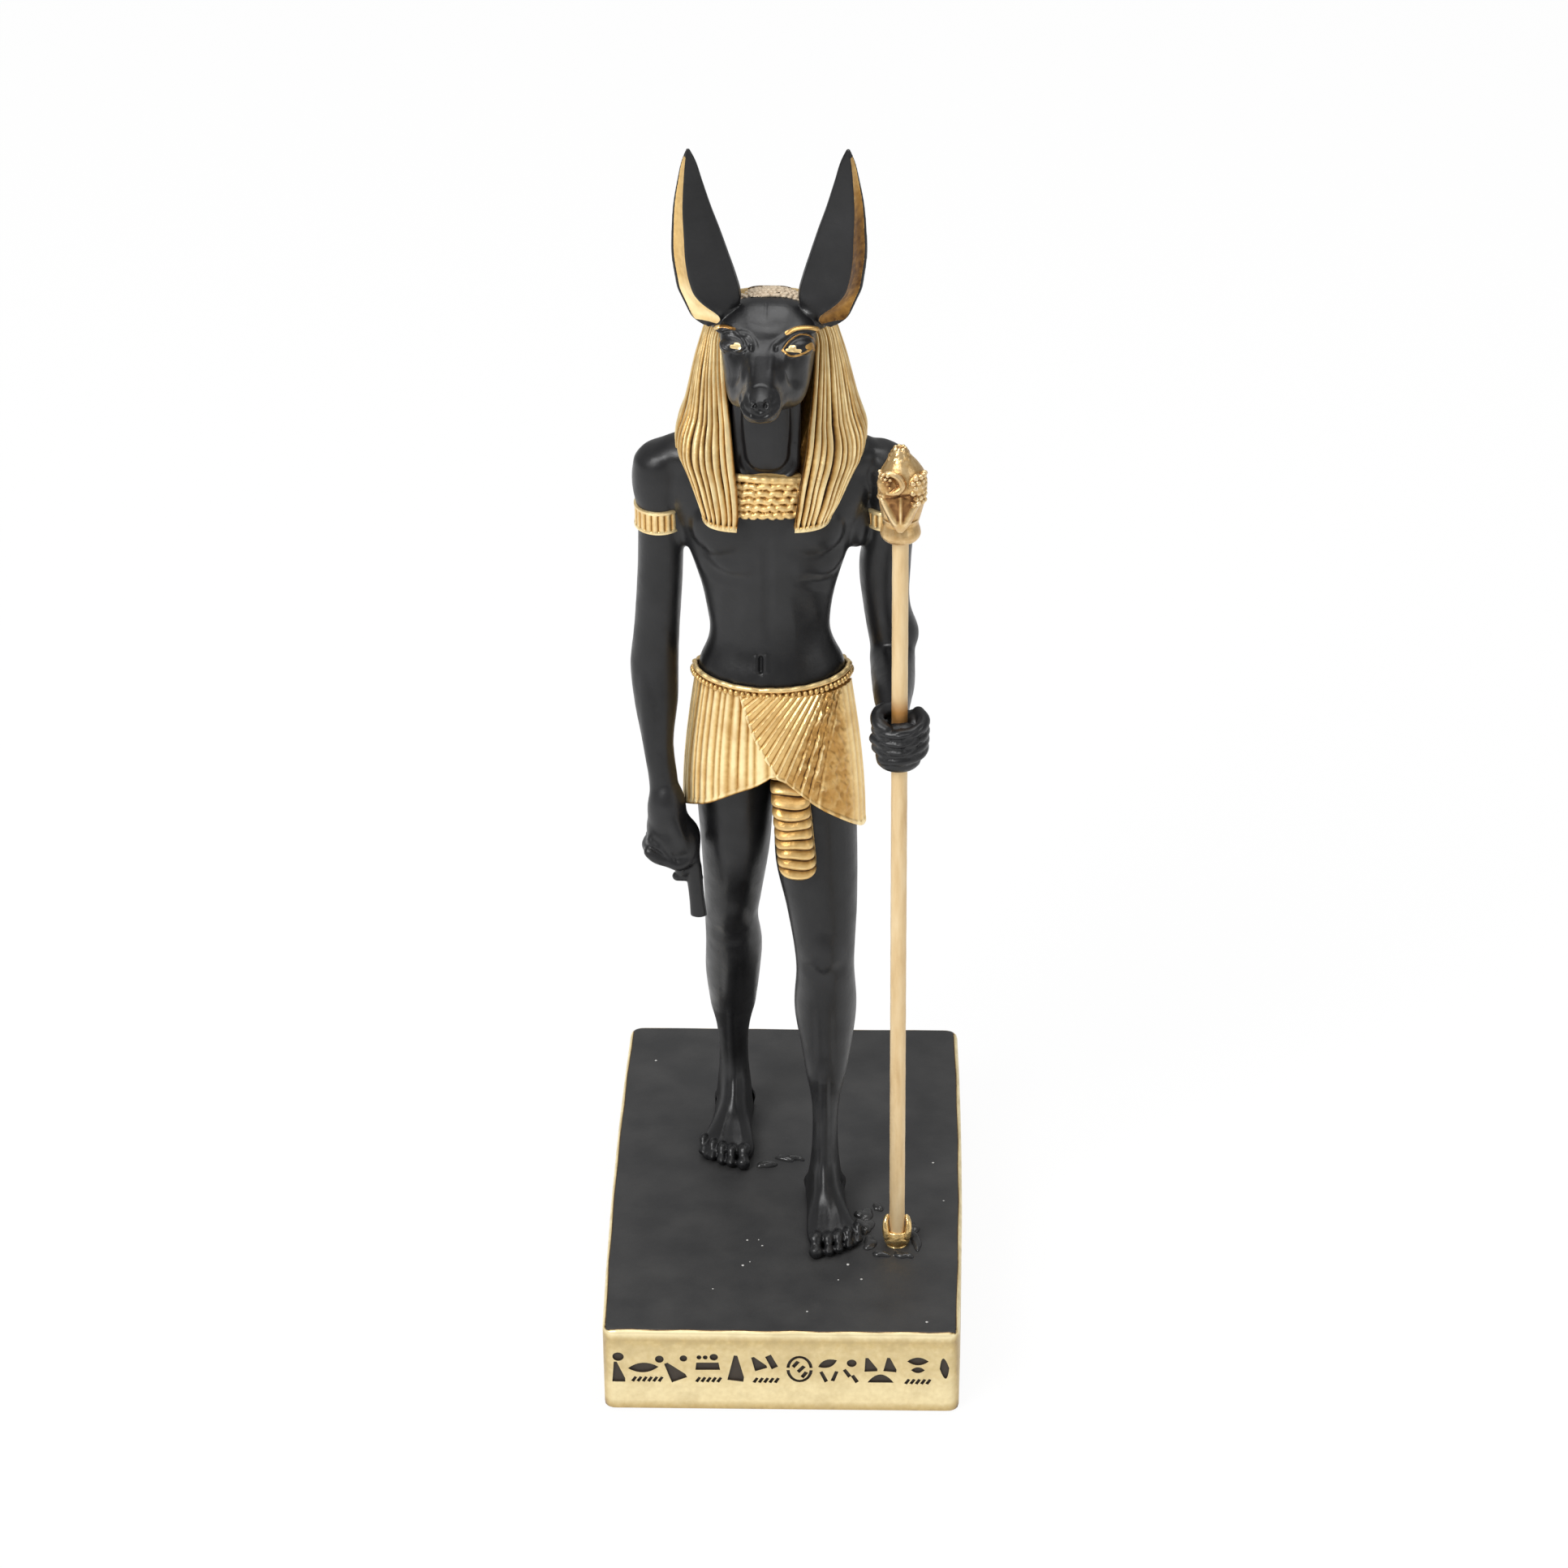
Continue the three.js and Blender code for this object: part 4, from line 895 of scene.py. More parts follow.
def toes(bigX, bigY, side):
    # five toes, each with its nail, from the big one outward
    made = []
    for i in range(5):
        radius = 0.98 if i == 0 else 0.76 - 0.04 * i
        x = bigX + side * (0 if i == 0 else 0.35 + 1.3 * i)
        y = bigY + 0.18 * i * i
        made.append(finger([[x - side * 0.1, y + 3.2, 1.6, radius * 0.75], [x, y + 2.1, 1.9, radius],
                            [x + side * 0.05, y + 1.35, 1.3, radius * 0.72],
                            [x + side * 0.08, y + 0.75, 0.85, radius]], 0.25))
        made.append(finger([[x + side * 0.02, y + 0.8, 0.9 + radius * 0.66, 0.3],
                            [x + side * 0.06, y + 0.2, 0.66 + radius * 0.52, 0.26]], 0.15))
    return made


def makeLeg(name, leg, foot, toe, marks, budget):
    piece = startPiece(name)
    limb(leg)
    limb(foot, lying=True, pitch=0.8)
    x, y = leg[-2][:2]
    swell(x + 0.1, y - 3.7, 5.2, 1.95, 4.6, 1.7, turnX=38)       # the instep, sloping down from the shin
    swell(x, y - 1.5, 8.8, 1.6, 1.9, 4.6, turnX=-9)
    bpy.ops.mesh.select_all(action="SELECT")
    bpy.ops.mesh.bisect(plane_co=(0, 0, -0.02), plane_no=(0, 0, 1), use_fill=True, clear_inner=True)
    endEdit()
    fuse(piece, legs["coarse"], 20)
    z = getPoints(piece)[:, 2]
    ankle = rise(z, 1.8, 1.5) * fall(z, 19, 4)
    setPoints(piece, eased(piece, legs["eased"], ankle[:, None]))
    joinTo(piece, toes(*toe))
    fuse(piece, legs["voxel"], 4)
    carve(piece, marks)
    thin(piece, budget)
    points = getPoints(piece)
    points[:, 2] = np.where(points[:, 2] < 0.12, 0, points[:, 2])
    setPoints(piece, points)
    finishPiece(piece, blackResin, "figure")


makeLeg("leg_front", legs["front"], legs["frontFoot"], (4.1, -19.8, 1), [
    ([(5.0, -7, 32.5), (5.1, -6.6, 26), (5.2, -6.6, 20)], 1.5, 0.25),
    ([(5.1, -6.7, 21), (5.1, -7.2, 15), (5.1, -7.7, 9), (5.1, -9.4, 6.6), (5.2, -12, 4.8)], 0.85, 0.28),
    ([(4.6, -6.9, 39.5), (5.4, -6.9, 39.0)], 2.8, 0.35),
    ([(3.2, -6.2, 36.4), (5, -6.8, 35.4), (7, -6.2, 36.4)], 1.2, -0.14),
    ([(3.8, -6.4, 19), (3.8, -6.8, 12), (3.8, -7.8, 8), (3.9, -10, 6)], 1.1, -0.12),
    ([(6.4, -6.4, 19), (6.5, -6.8, 12), (6.5, -7.8, 8), (6.6, -10, 6)], 1.1, -0.12),
    ([(4.5, -11.5, 4.4), (4.3, -13.5, 2.9), (4.2, -16.4, 2.3)], 0.45, 0.07),
    ([(5.6, -11.8, 4.4), (5.8, -13.5, 2.9), (5.9, -16.4, 2.2)], 0.45, 0.07),
    ([(6.4, -11.5, 4.3), (7.0, -13.2, 2.8), (7.3, -16.2, 2.1)], 0.45, 0.07),
], 60000)
makeLeg("leg_rear", legs["rear"], legs["rearFoot"], (-5.9, 0.2, -1), [
    ([(-7.3, 3.2, 33), (-7.4, 6, 26), (-7.5, 8.6, 20)], 1.5, 0.25),
    ([(-7.5, 8.8, 21), (-7.6, 10.6, 15), (-7.5, 11.8, 9), (-7.5, 10.4, 6.4), (-7.6, 8, 4.8)], 0.85, 0.28),
    ([(-7.6, 2.4, 38.8), (-6.9, 2.4, 38.8)], 2.4, 0.35),
    ([(-9, 3.4, 35.8), (-7.3, 3, 34.9), (-5.6, 3.4, 35.8)], 1.2, -0.14),
    ([(-7.1, 8.6, 4.6), (-6.6, 6.6, 3), (-6.2, 4, 2.2)], 0.45, 0.07),
    ([(-8.3, 8.6, 4.5), (-8.9, 6.8, 2.9), (-9.3, 4.4, 2)], 0.45, 0.07),
], 55000)
print("legs done")


# Upper body: chest, neck column, arms, fists, and the shaft and arms of the looped cross

upper = {
    # x, y, height, half width, half depth (half height along the forearm)
    "torso": [[-1.8, 3.6, 110.2, 6, 3], [-1.8, 3.6, 108.4, 11, 3.9], [-1.8, 3.5, 105.5, 13, 4.6],
              [-1.8, 3.2, 102.5, 12.9, 5.1], [-1.8, 3, 99, 12, 5.3], [-1.8, 3, 95.5, 10.8, 5.2],
              [-1.8, 3, 91, 9.3, 4.8], [-1.8, 3, 87.8, 8.4, 4.5], [-1.8, 3, 84.3, 7.8, 4.3],
              [-1.7, 3, 81.7, 7.6, 4.4], [-1.6, 3, 79.4, 8.2, 4.9], [-1.55, 3, 77.8, 9.0, 5.6],
              [-1.5, 3, 76.6, 9.35, 6.05], [-1.5, 3, 75, 9.1, 6], [-1.5, 3, 72, 9.1, 6], [-1.6, 3, 62, 7, 4]],
    "rightArm": [[-14, 4, 107.2, 1.5, 1.8], [-14.8, 4, 106.2, 2.8, 3], [-15.4, 4, 103.5, 3.3, 3.6],
                 [-15.55, 4, 100.9, 3.15, 3.5], [-15.35, 4, 97.7, 2.75, 3.2], [-15.3, 4, 94.6, 2.85, 3.1],
                 [-15.6, 4, 87.1, 2.9, 3], [-16.15, 4, 80.1, 2.95, 2.9], [-16.45, 3.9, 76.4, 3.1, 3],
                 [-16.3, 2.9, 71.4, 2.85, 2.9], [-16.1, 1.6, 65.6, 2, 2.3], [-15.5, 0.8, 60.6, 1.9, 2.05],
                 [-15.2, 0, 56, 2.1, 2.4]],
    "leftUpperArm": [[11.8, 4, 107.1, 1.5, 1.8], [12.5, 4, 106, 2.6, 3], [13.2, 4, 103.4, 3.2, 3.5],
                     [13.5, 4.5, 100.8, 3.1, 3.4], [13.45, 4.9, 98.1, 3, 3.3], [13.35, 5.1, 95, 3, 3.3],
                     [12.8, 5.8, 90.4, 3.3, 3.3], [13, 6.5, 83, 3, 3], [13.9, 6.6, 78.4, 3.2, 3.1],
                     [13.7, 6.4, 76.5, 2.6, 2.7], [13.7, 6, 74.8, 1.5, 1.6]],
    "leftForearm": [[13.7, 8.2, 77.2, 1.7, 1.8], [13.7, 6.5, 76.8, 2.7, 2.7], [13.8, 3, 76, 2.85, 2.8],
                    [13.9, -2, 76.1, 2.7, 2.6], [13.85, -6, 76.5, 2.4, 2.3], [13.9, -9, 76.6, 2.1, 2],
                    [14, -12, 76.3, 2.05, 2.2], [14.4, -14.5, 76, 2, 2.7]],
    "crossShaft": [[-12.0, -0.6, 51, 1.1, 1.0], [-11.9, -0.9, 49.5, 1.15, 1.0], [-11.6, -1, 46.4, 1.05, 0.8],
                   [-11.4, -1, 43.8, 1.0, 0.7], [-11.2, -1, 41.3, 1.1, 0.75]],
    "neckMiddle": (-1.7, 2.5), "neckHalf": (4.2, 4.9), "neckLow": 96, "neckHigh": 121,
    "fistMiddle": 75.9,
    "staffPalm": [(1.9, 1.7, 1.2, 1.75, 2.2, 2.3), (0.2, -0.95, 0.4, 2.8, 1.8, 2.9),
                  (-0.1, -0.4, -2.0, 2.85, 2.6, 1.55), (1.2, 2.4, 0.4, 2.2, 2.0, 2.6)],
    "crossPalm": [(-14.9, 0.3, 53.8, 3.0, 2.5, 3.7), (-15.1, 0.1, 56.6, 2.6, 2.6, 4.6),
                  (-13.2, 0.2, 52.2, 2.5, 2.2, 3.3), (-17.2, 0.0, 51.4, 1.35, 1.9, 1.4, 0, 20),
                  (-16.8, -1.5, 53.0, 1.0, 0.9, 1.2), (-14.7, -1.1, 52.2, 2.5, 1.9, 2.7),
                  (-12.6, -0.9, 51.6, 1.8, 1.6, 3.3), (-12.9, -1.0, 48.8, 1.45, 1.0, 1.8)],
    "creases": (1.75, 0.5, -0.65),
    "crease": (((-2.6, 0.8), (-1.0, 0.0), (0.6, 0.05), (1.9, 0.9), (2.9, 2.3)), 0.26, -0.2),
    "fineCrease": (((-0.4, 0.75), (1.4, 1.05)), 0.22, -0.16),
    "coarse": 0.28, "voxel": 0.18, "eased": 45,
    "triangles": 132000,
}


def makeNeck():
    # a flat-fronted column with its rim round the front
    def place(turn, share):
        angle = turn * 2 * np.pi
        shut = np.where(ends(share), 0.05, 1)
        sine, cosine = np.sin(angle), np.cos(angle)
        x = squared(cosine, 0.55) * upper["neckHalf"][0]
        y = squared(sine, 0.55) * upper["neckHalf"][1]
        z = upper["neckLow"] + (upper["neckHigh"] - upper["neckLow"]) * share
        return upper["neckMiddle"][0] + x * shut, upper["neckMiddle"][1] + y * shut, z

    return sheet("neck", 64, 40, place)


def makeStaffFist():
    x, y, z = general["staffX"], general["staffY"], upper["fistMiddle"]
    palm = startPiece("palm")
    for egg in moved(upper["staffPalm"], x, y, z):
        swell(*egg)
    endEdit()
    made = [palm]
    # knuckles at the right, tips side by side at the left
    for level, thick, tip in ((2.4, 0.84, -2.75), (1.1, 0.82, -3.0), (-0.1, 0.8, -2.75), (-1.25, 0.74, -2.3)):
        made.append(finger(moved([
            [2.3, 1.9, 0.7, thick], [2.95, 0.2, 0.62, thick], [2.45, -1.5, 0.4, thick * 0.96],
            [1.2, -2.45, 0.2, thick * 0.84], [0.1, -2.6, 0.05, thick * 0.92], [-1.0, -2.4, -0.1, thick * 0.8],
            [-1.9, -1.9, -0.15, thick], [tip, -0.8, -0.1, thick * 0.95]], x, y, z + level)))
    made.append(finger(moved([[-1.4, 2.6, 3.0, 1.1], [-2.4, 1.2, 3.5, 1.0], [-2.8, -0.1, 3.4, 0.86],
                              [-2.3, -1.3, 3.0, 0.95], [-1.6, -1.9, 2.8, 0.75]], x, y, z)))
    return made


def makeCrossFist():
    palm = startPiece("cross_palm")
    for egg in upper["crossPalm"]:
        swell(*egg)
    endEdit()
    made = [palm]
    for i in range(4):
        y = 2.3 - 1.5 * i
        made.append(finger([[-17.5, y, 51.5, 0.8], [-16.5, y - 0.1, 50.7, 0.9], [-14.9, y - 0.2, 50.1, 0.78],
                            [-13.4, y - 0.2, 49.7, 0.86], [-12.3, y, 50.3, 0.72]], 0.3, (0, 1, 0)))
    made.append(finger([[-14.8, -1.0, 57.6, 1.1], [-13.9, -1.8, 55.2, 1.05], [-13.1, -2.3, 53.0, 0.85],
                        [-12.8, -2.2, 51.8, 0.7]], 0.3, (1, 0, 0)))
    made.append(finger([[-13.9, -1, 47.2, 0.66], [-12.4, -1, 47.1, 0.62], [-11.1, -1, 47.0, 0.6]]))
    return made


def makeUpperBody():
    piece = startPiece("upper_body")
    limb(upper["torso"], sides=48)
    limb(upper["rightArm"])
    limb(upper["leftUpperArm"])
    limb(upper["leftForearm"], lying=True)
    for side in (-1, 1):
        swell(-1.8 + side * 4.7, -0.1, 97.8, 4.9, 2.4, 4.4, segments=32)
        swell(-1.8 + side * 9.6, 3.8, 105.7, 5, 3.5, 2.7)
        swell(-1.8 + side * 10.9, 4.2, 96.8, 2, 2.8, 4.2)
        swell(-1.8 + side * 5.5, 7.2, 100.5, 4.6, 1.6, 5.2)     # shoulder blades
    endEdit()
    joinTo(piece, [makeNeck()])
    fuse(piece, upper["coarse"], 22)
    cross = startPiece("cross")
    limb(upper["crossShaft"], sides=16)
    endEdit()
    joinTo(piece, makeStaffFist() + makeCrossFist() + [cross])
    fuse(piece, upper["voxel"], 4)
    x, _, z = getPoints(piece).T
    hand = fall(z, 61, 2) * rise(z, 48.8, 0.8) * (x < -9.5)
    setPoints(piece, eased(piece, upper["eased"], hand[:, None]))
    fistX, fistLow = general["staffX"], upper["fistMiddle"] - 9.7
    marks = []
    for level in upper["creases"]:          # each crease between fingers has a finer one beside it
        for line, width, height in upper["crease"], upper["fineCrease"]:
            marks.append((front(*((fistX + x, fistLow + level + z) for x, z in line)), width, height))
    carve(piece, marks + [
        (front((-1.8, 97), (-1.8, 88), (-1.9, 82)), 1.1, -0.22),
        (front((2.2, 90.8), (5.7, 91.15), (8.0, 93.6), (9.0, 96)), 1.2, -0.3),
        (front((-3.9, 91.1), (-6.6, 91.4), (-9.2, 93.4), (-10.4, 96)), 1.2, -0.24),
        (front((2.4, 92.4), (5.6, 92.6), (7.6, 94.6)), 1.5, 0.22),
        (front((-4.6, 92.6), (-6.8, 92.8), (-8.8, 94.6)), 1.5, 0.2),
        (front((-5.4, 90), (-6.6, 85), (-6.4, 81)), 1.8, -0.2),
        (front((1.9, 90), (3.2, 85), (3.1, 81)), 1.8, -0.2),
        (front((-2.78, 79.9), (-2.8, 78.0)), 0.42, -0.5),
        (front((-3.4, 79.9), (-3.45, 78.1)), 0.5, 0.12), (front((-2.1, 80.1), (-2.1, 78)), 0.5, 0.14),
        (front((-5.5, 121), (-5.45, 109.5), (-5.2, 106.6), (-4.0, 105.2), (-1.8, 104.7),
          (0.5, 105.2), (1.7, 106.6), (2.0, 109.5), (2.0, 121)), 0.42, 0.4),
        (front((-4.8, 121), (-4.75, 109.5), (-4.4, 107.4), (-3.4, 106.2), (-1.8, 105.8),
          (0.0, 106.2), (1.0, 107.4), (1.3, 109.5), (1.3, 121)), 0.5, -0.25),
        (front((-18.0, 52.6), (-16.6, 51.6), (-15.2, 50.4)), 0.35, -0.22),       # folds of the closed hand
        (front((-17.6, 54.4), (-16.6, 53.0), (-15.5, 52.3)), 0.7, -0.24),
        (front((-15.6, 52.2), (-14.6, 50.6)), 0.35, -0.18),
        (front((-14.5, 51.3), (-13.7, 49.8)), 0.35, -0.18),
        ([(-16.3, -1.4, 76), (-15.9, -1.6, 70), (-15.9, -1.8, 64)], 1.0, -0.14),
        ([(-17.8, -1.4, 78), (-17.6, -1.6, 70), (-17.2, -1.8, 63)], 0.9, 0.14),
    ])
    thin(piece, upper["triangles"])
    finishPiece(piece, blackResin, "figure")


makeUpperBody()
print("upper body done")


# Head: skull, muzzle, ears; eyes, brows and the insides of the ears are picked out in gold

head = {
    # y, middle x, then half widths and heights from the top down to the chin
    "sections": [
        (6.5, -1.45, [(0, 126.3), (2.4, 125.9), (4.9, 123.8), (5.5, 121), (4.3, 117.4), (0, 116)]),
        (3, -1.45, [(0, 127.3), (2.9, 127.0), (5.5, 125.3), (5.8, 121.2), (4.6, 116.9), (0, 115.2)]),
        (1, -1.5, [(0, 127.1), (2.9, 126.9), (5.6, 125.3), (5.7, 121), (4.6, 116.6), (0, 115.0)]),
        (-0.8, -1.55, [(0, 126.3), (2.8, 126.1), (5.5, 125.0), (5.5, 120.9), (4.5, 116.4), (0, 115.0)]),
        (-2.4, -1.6, [(0, 125.2), (2.5, 125.0), (5.15, 124.4), (5.2, 120.8), (4.4, 116.3), (0, 115.1)]),
        (-3.8, -1.7, [(0, 124.1), (2.1, 124.0), (4.4, 123.5), (4.75, 120.6), (4.2, 116.3), (0, 115.4)]),
        (-5.2, -1.8, [(0, 123.45), (1.75, 123.3), (3.5, 122.6), (4.1, 120.2), (3.8, 116.8), (0, 115.8)]),
        (-6.6, -1.85, [(0, 123.15), (1.5, 122.95), (2.75, 121.9), (3.2, 119.9), (3.2, 117.5), (0, 116.2)]),
        (-8.2, -1.95, [(0, 122.85), (1.42, 122.6), (2.25, 121.5), (2.6, 119.9), (2.75, 118.2), (0, 116.7)]),
        (-10, -2.0, [(0, 122.5), (1.4, 122.2), (2.0, 121.2), (2.25, 120.0), (2.25, 118.2), (0, 117.2)]),
        (-11.6, -2.0, [(0, 122.2), (1.35, 121.9), (1.9, 121.1), (2.2, 120.2), (2.05, 118.3), (0, 117.6)]),
        (-13, -2.05, [(0, 121.8), (1.1, 121.5), (1.5, 121.0), (1.8, 120.2), (1.6, 118.5), (0, 118.0)]),
        (-13.9, -2.05, [(0, 121.3), (0.7, 121.2), (0.95, 120.9), (1.1, 120.3), (0.95, 119.1), (0, 118.6)]),
    ],
    "voxel": 0.135,
    "triangles": 150000,
    "axis": -1.3,             # halfway between the ears
    "middles": (-1.45, -1.62, -2.04),         # of the skull, the eyes and the nose
}
# height, distance from the axis, half width, thickness
ear = [[124.3, 7.75, 0.3, 0.9], [124.6, 7.65, 1.0, 1.5], [125.0, 7.5, 1.75, 2.0], [125.5, 7.3, 2.4, 2.4],
       [126.2, 7.1, 2.95, 2.75], [127.4, 7.05, 3.55, 3.05], [128.8, 7.35, 3.85, 3.1],
       [130.5, 7.7, 3.8, 3], [133.6, 8.35, 3.5, 2.7], [136.8, 8.8, 2.95, 2.3], [139.9, 9.2, 2.3, 1.9],
       [143.1, 9.4, 1.55, 1.4], [146.2, 9.5, 0.72, 0.8], [147.4, 9.55, 0.2, 0.35]]


def foldShare(z):
    # where the ear's fold lies, from -1 at the inner edge to 1 at the outer
    heights = [124.3, 125.0, 125.6, 126.2, 126.8, 127.5, 128.4, 129.4, 131.2, 135.8, 148]
    shares = [-0.85, -0.72, -0.55, -0.32, -0.02, 0.24, 0.38, 0.46, 0.5, 0.46, 0.46]
    return sum(np.interp(z + step, heights, shares) for step in (-0.5, -0.25, 0, 0.25, 0.5)) / 5


faceLines = {
    "lids": [front((-7.2, 124.1), (-6.65, 124.85), (-5.65, 124.95), (-4.7, 124.15), (-3.9, 122.55)),
             front((-7.2, 123.5), (-6.7, 122.5), (-5.4, 122.0), (-4.25, 122.1), (-3.9, 122.5)),
             front((0.4, 122.3), (1.3, 123.7), (2.45, 124.5), (3.75, 124.35), (4.5, 123.45)),
             front((0.4, 122.2), (1.3, 121.45), (2.9, 121.85), (4.3, 122.9))],
    "brows": [front((-8.2, 125.35), (-6.9, 125.75), (-5.5, 125.3)),
              front((0.9, 124.75), (1.9, 125.35), (3.4, 125.6), (5.0, 125.3))],
    "lipRing": front((-4.2, 116.5), (-4.55, 115.2), (-4.4, 113.9), (-3.7, 112.8), (-2.65, 112.2),
                     (-1.7, 112.2), (-0.65, 112.75), (0.0, 113.8), (0.1, 115.1), (-0.4, 116.6)),
}

# what is picked out in gold on the face: line, half width, how bright
faceGold = [
    (front((-5.75, 122.75), (-4.85, 122.6)), 0.22, 0.66), (front((-5.2, 122.95), (-5.05, 122.9)), 0.33, 0.7),
    (front((0.95, 122.25), (2.5, 122.2)), 0.2, 0.66), (front((1.45, 122.6), (1.7, 122.6)), 0.33, 0.7),
    (front((3.4, 122.75), (3.9, 123.15)), 0.27, 0.34),
    (faceLines["lids"][3], 0.11, 0.32), (faceLines["lids"][2], 0.08, 0.16),
    (faceLines["brows"][0], 0.19, 0.2), (faceLines["brows"][1], 0.28, 0.42),
]


def earAt(z):
    # distance from the axis, half width and thickness at a height
    rows = smoothRows([[away, 0, level, halfWidth, thick] for level, away, halfWidth, thick in ear], 0.4)
    return (np.interp(z, rows[:, 2], rows[:, i]) for i in (0, 3, 4))


def makeEar(side):
    # front: from the inner edge to a fold, then the gilt strip out to the rim

    def place(turn, share):
        z = ear[0][0] + (ear[-1][0] - ear[0][0]) * share
        away, halfWidth, thickness = earAt(z)
        fold = foldShare(z)
        inner = fold + 1
        outer = 0.93 - fold
        # round the ear from its inner edge: shares of the half width and of the thickness
        across = [-1, -0.95, -1 + 0.3 * inner, -1 + 0.65 * inner, fold - 0.05, fold + 0.02,
                  fold + 0.3 * outer, fold + 0.65 * outer, 0.9, 0.95, 1, 0.97, 0.8, 0.4, 0,
                  -0.4, -0.75, -0.95, -1]
        across = np.stack([value + 0 * z for value in across])
        deep = np.array([0.3, 0.06, -0.1, -0.26, -0.40, -0.38, -0.10, 0.16, 0.30, 0.24, 0.36,
                         0.5, 0.66, 0.8, 0.84, 0.8, 0.68, 0.5, 0.3])
        at = turn * (len(deep) - 1)
        i = np.minimum(np.floor(at).astype(int), len(deep) - 2)
        t = at - i
        here = np.arange(len(z))
        sideways = across[i, here] * (1 - t) + across[i + 1, here] * t
        back = deep[i] * (1 - t) + deep[i + 1] * t
        return head["axis"] + side * (away + sideways * halfWidth), 1 + back * thickness, z

    return sheet("ear", 90, 64, place)


def makeHead():
    piece = startPiece("head")
    skull, eyes, nose = head["middles"]
    swell(skull, 4.6, 121.2, 5.9, 5.2, 6.0, segments=32)
    for side in (-1, 1):
        # ear root, brow, eyeball, upper lip, nostril wing
        swell(skull + side * 5.4, 2.4, 125.4, 2.4, 2.2, 2.2)
        swell(eyes + side * 4.1, -1.7, 124.75, 2.5, 0.9, 0.6, 0, side * -5, side * 22)
        swell(eyes + side * 4.05, -2.9, 123.3, 1.8, 1.3, 1.15, 0, side * -8, side * 30, 32)
        swell(nose + side * 1.15, -11.7, 119.9, 1.25, 1.4, 1.1)
        swell(nose + side * 0.7, -13.3, 120.3, 0.7, 0.75, 0.8)
    swell(nose, -12.75, 120.2, 1.4, 1.4, 1.55, segments=32)
    endEdit()
    joinTo(piece, [loft("face", head["sections"], 60, 0.5), makeEar(-1), makeEar(1)])
    fuse(piece, head["voxel"], 7)
    marks = [(line, 0.28, 0.2) for line in faceLines["lids"]]
    marks += [(line, 0.36, 0.16) for line in faceLines["brows"]]
    marks += [
        (front((-8.0, 124.95), (-6.7, 125.2), (-5.3, 124.7)), 0.28, -0.16),
        (front((0.9, 124.1), (1.9, 124.75), (3.4, 125.0), (4.9, 124.7)), 0.28, -0.18),
        (front((-4.9, 125.2), (-3.6, 124.3), (-2.9, 123.0), (-2.8, 121.8)), 0.5, 0.16),
        (front((1.5, 124.6), (0.2, 123.9), (-0.7, 122.9), (-1.1, 121.8)), 0.5, 0.12),
        (front((-4.4, 125.6), (-2.9, 124.9), (-1.75, 124.7), (-0.4, 124.95), (1.0, 125.5)), 0.9, 0.06),
        (front((-1.75, 129.6), (-1.75, 126.4)), 0.3, -0.05),
        (front((-3.4, 122.0), (-3.5, 119.6), (-3.55, 117.3)), 0.6, 0.1),
        (front((-1.0, 122.0), (-0.95, 119.6), (-0.9, 118.0)), 0.6, 0.1),
        (front((-4.0, 120.6), (-4.5, 118.6), (-5.1, 116.6)), 0.8, 0.24),
        (front((0.0, 120.0), (0.55, 118.2), (1.3, 116.4)), 0.8, 0.24),
        (front((-5.5, 121.6), (-5.6, 118.6)), 1.5, -0.45),
        (front((2.1, 121.4), (2.0, 118.4)), 1.5, -0.45),
        (faceLines["lipRing"], 0.34, 0.26),
        (front((-3.55, 115.9), (-3.75, 114.9), (-3.35, 113.8)), 0.4, -0.26),
        (front((-0.7, 115.9), (-0.5, 114.8), (-0.85, 113.7)), 0.4, -0.26),
        (front((-3.0, 114.3), (-2.75, 113.8)), 0.42, -0.5), (front((-1.2, 114.3), (-1.4, 113.8)), 0.42, -0.5),
        (front((-2.9, 113.3), (-2.1, 113.0), (-1.2, 113.3)), 0.3, -0.22),
        (front((-2.1, 114.0), (-2.1, 112.9)), 0.24, -0.2),
        (front((-2.9, 116.5), (-2.05, 116.8), (-1.2, 116.5)), 0.3, -0.1),
        (front((-3.45, 122.7), (-3.4, 122.3)), 0.35, -0.25),
        (front((-0.45, 122.7), (-0.4, 122.3)), 0.35, -0.25),
    ]
    carve(piece, marks)
    thin(piece, head["triangles"])
    paintHead(piece)
    finishPiece(piece, gildedResin, "figure")


def nearLine(points, path, width):
    # 1 on a line seen from the front, falling to 0 at its width
    gap = fromLine(points @ flatten, smoothRows(path, width / 2) @ flatten)[0]
    return np.clip(1.5 - gap / width, 0, 1)


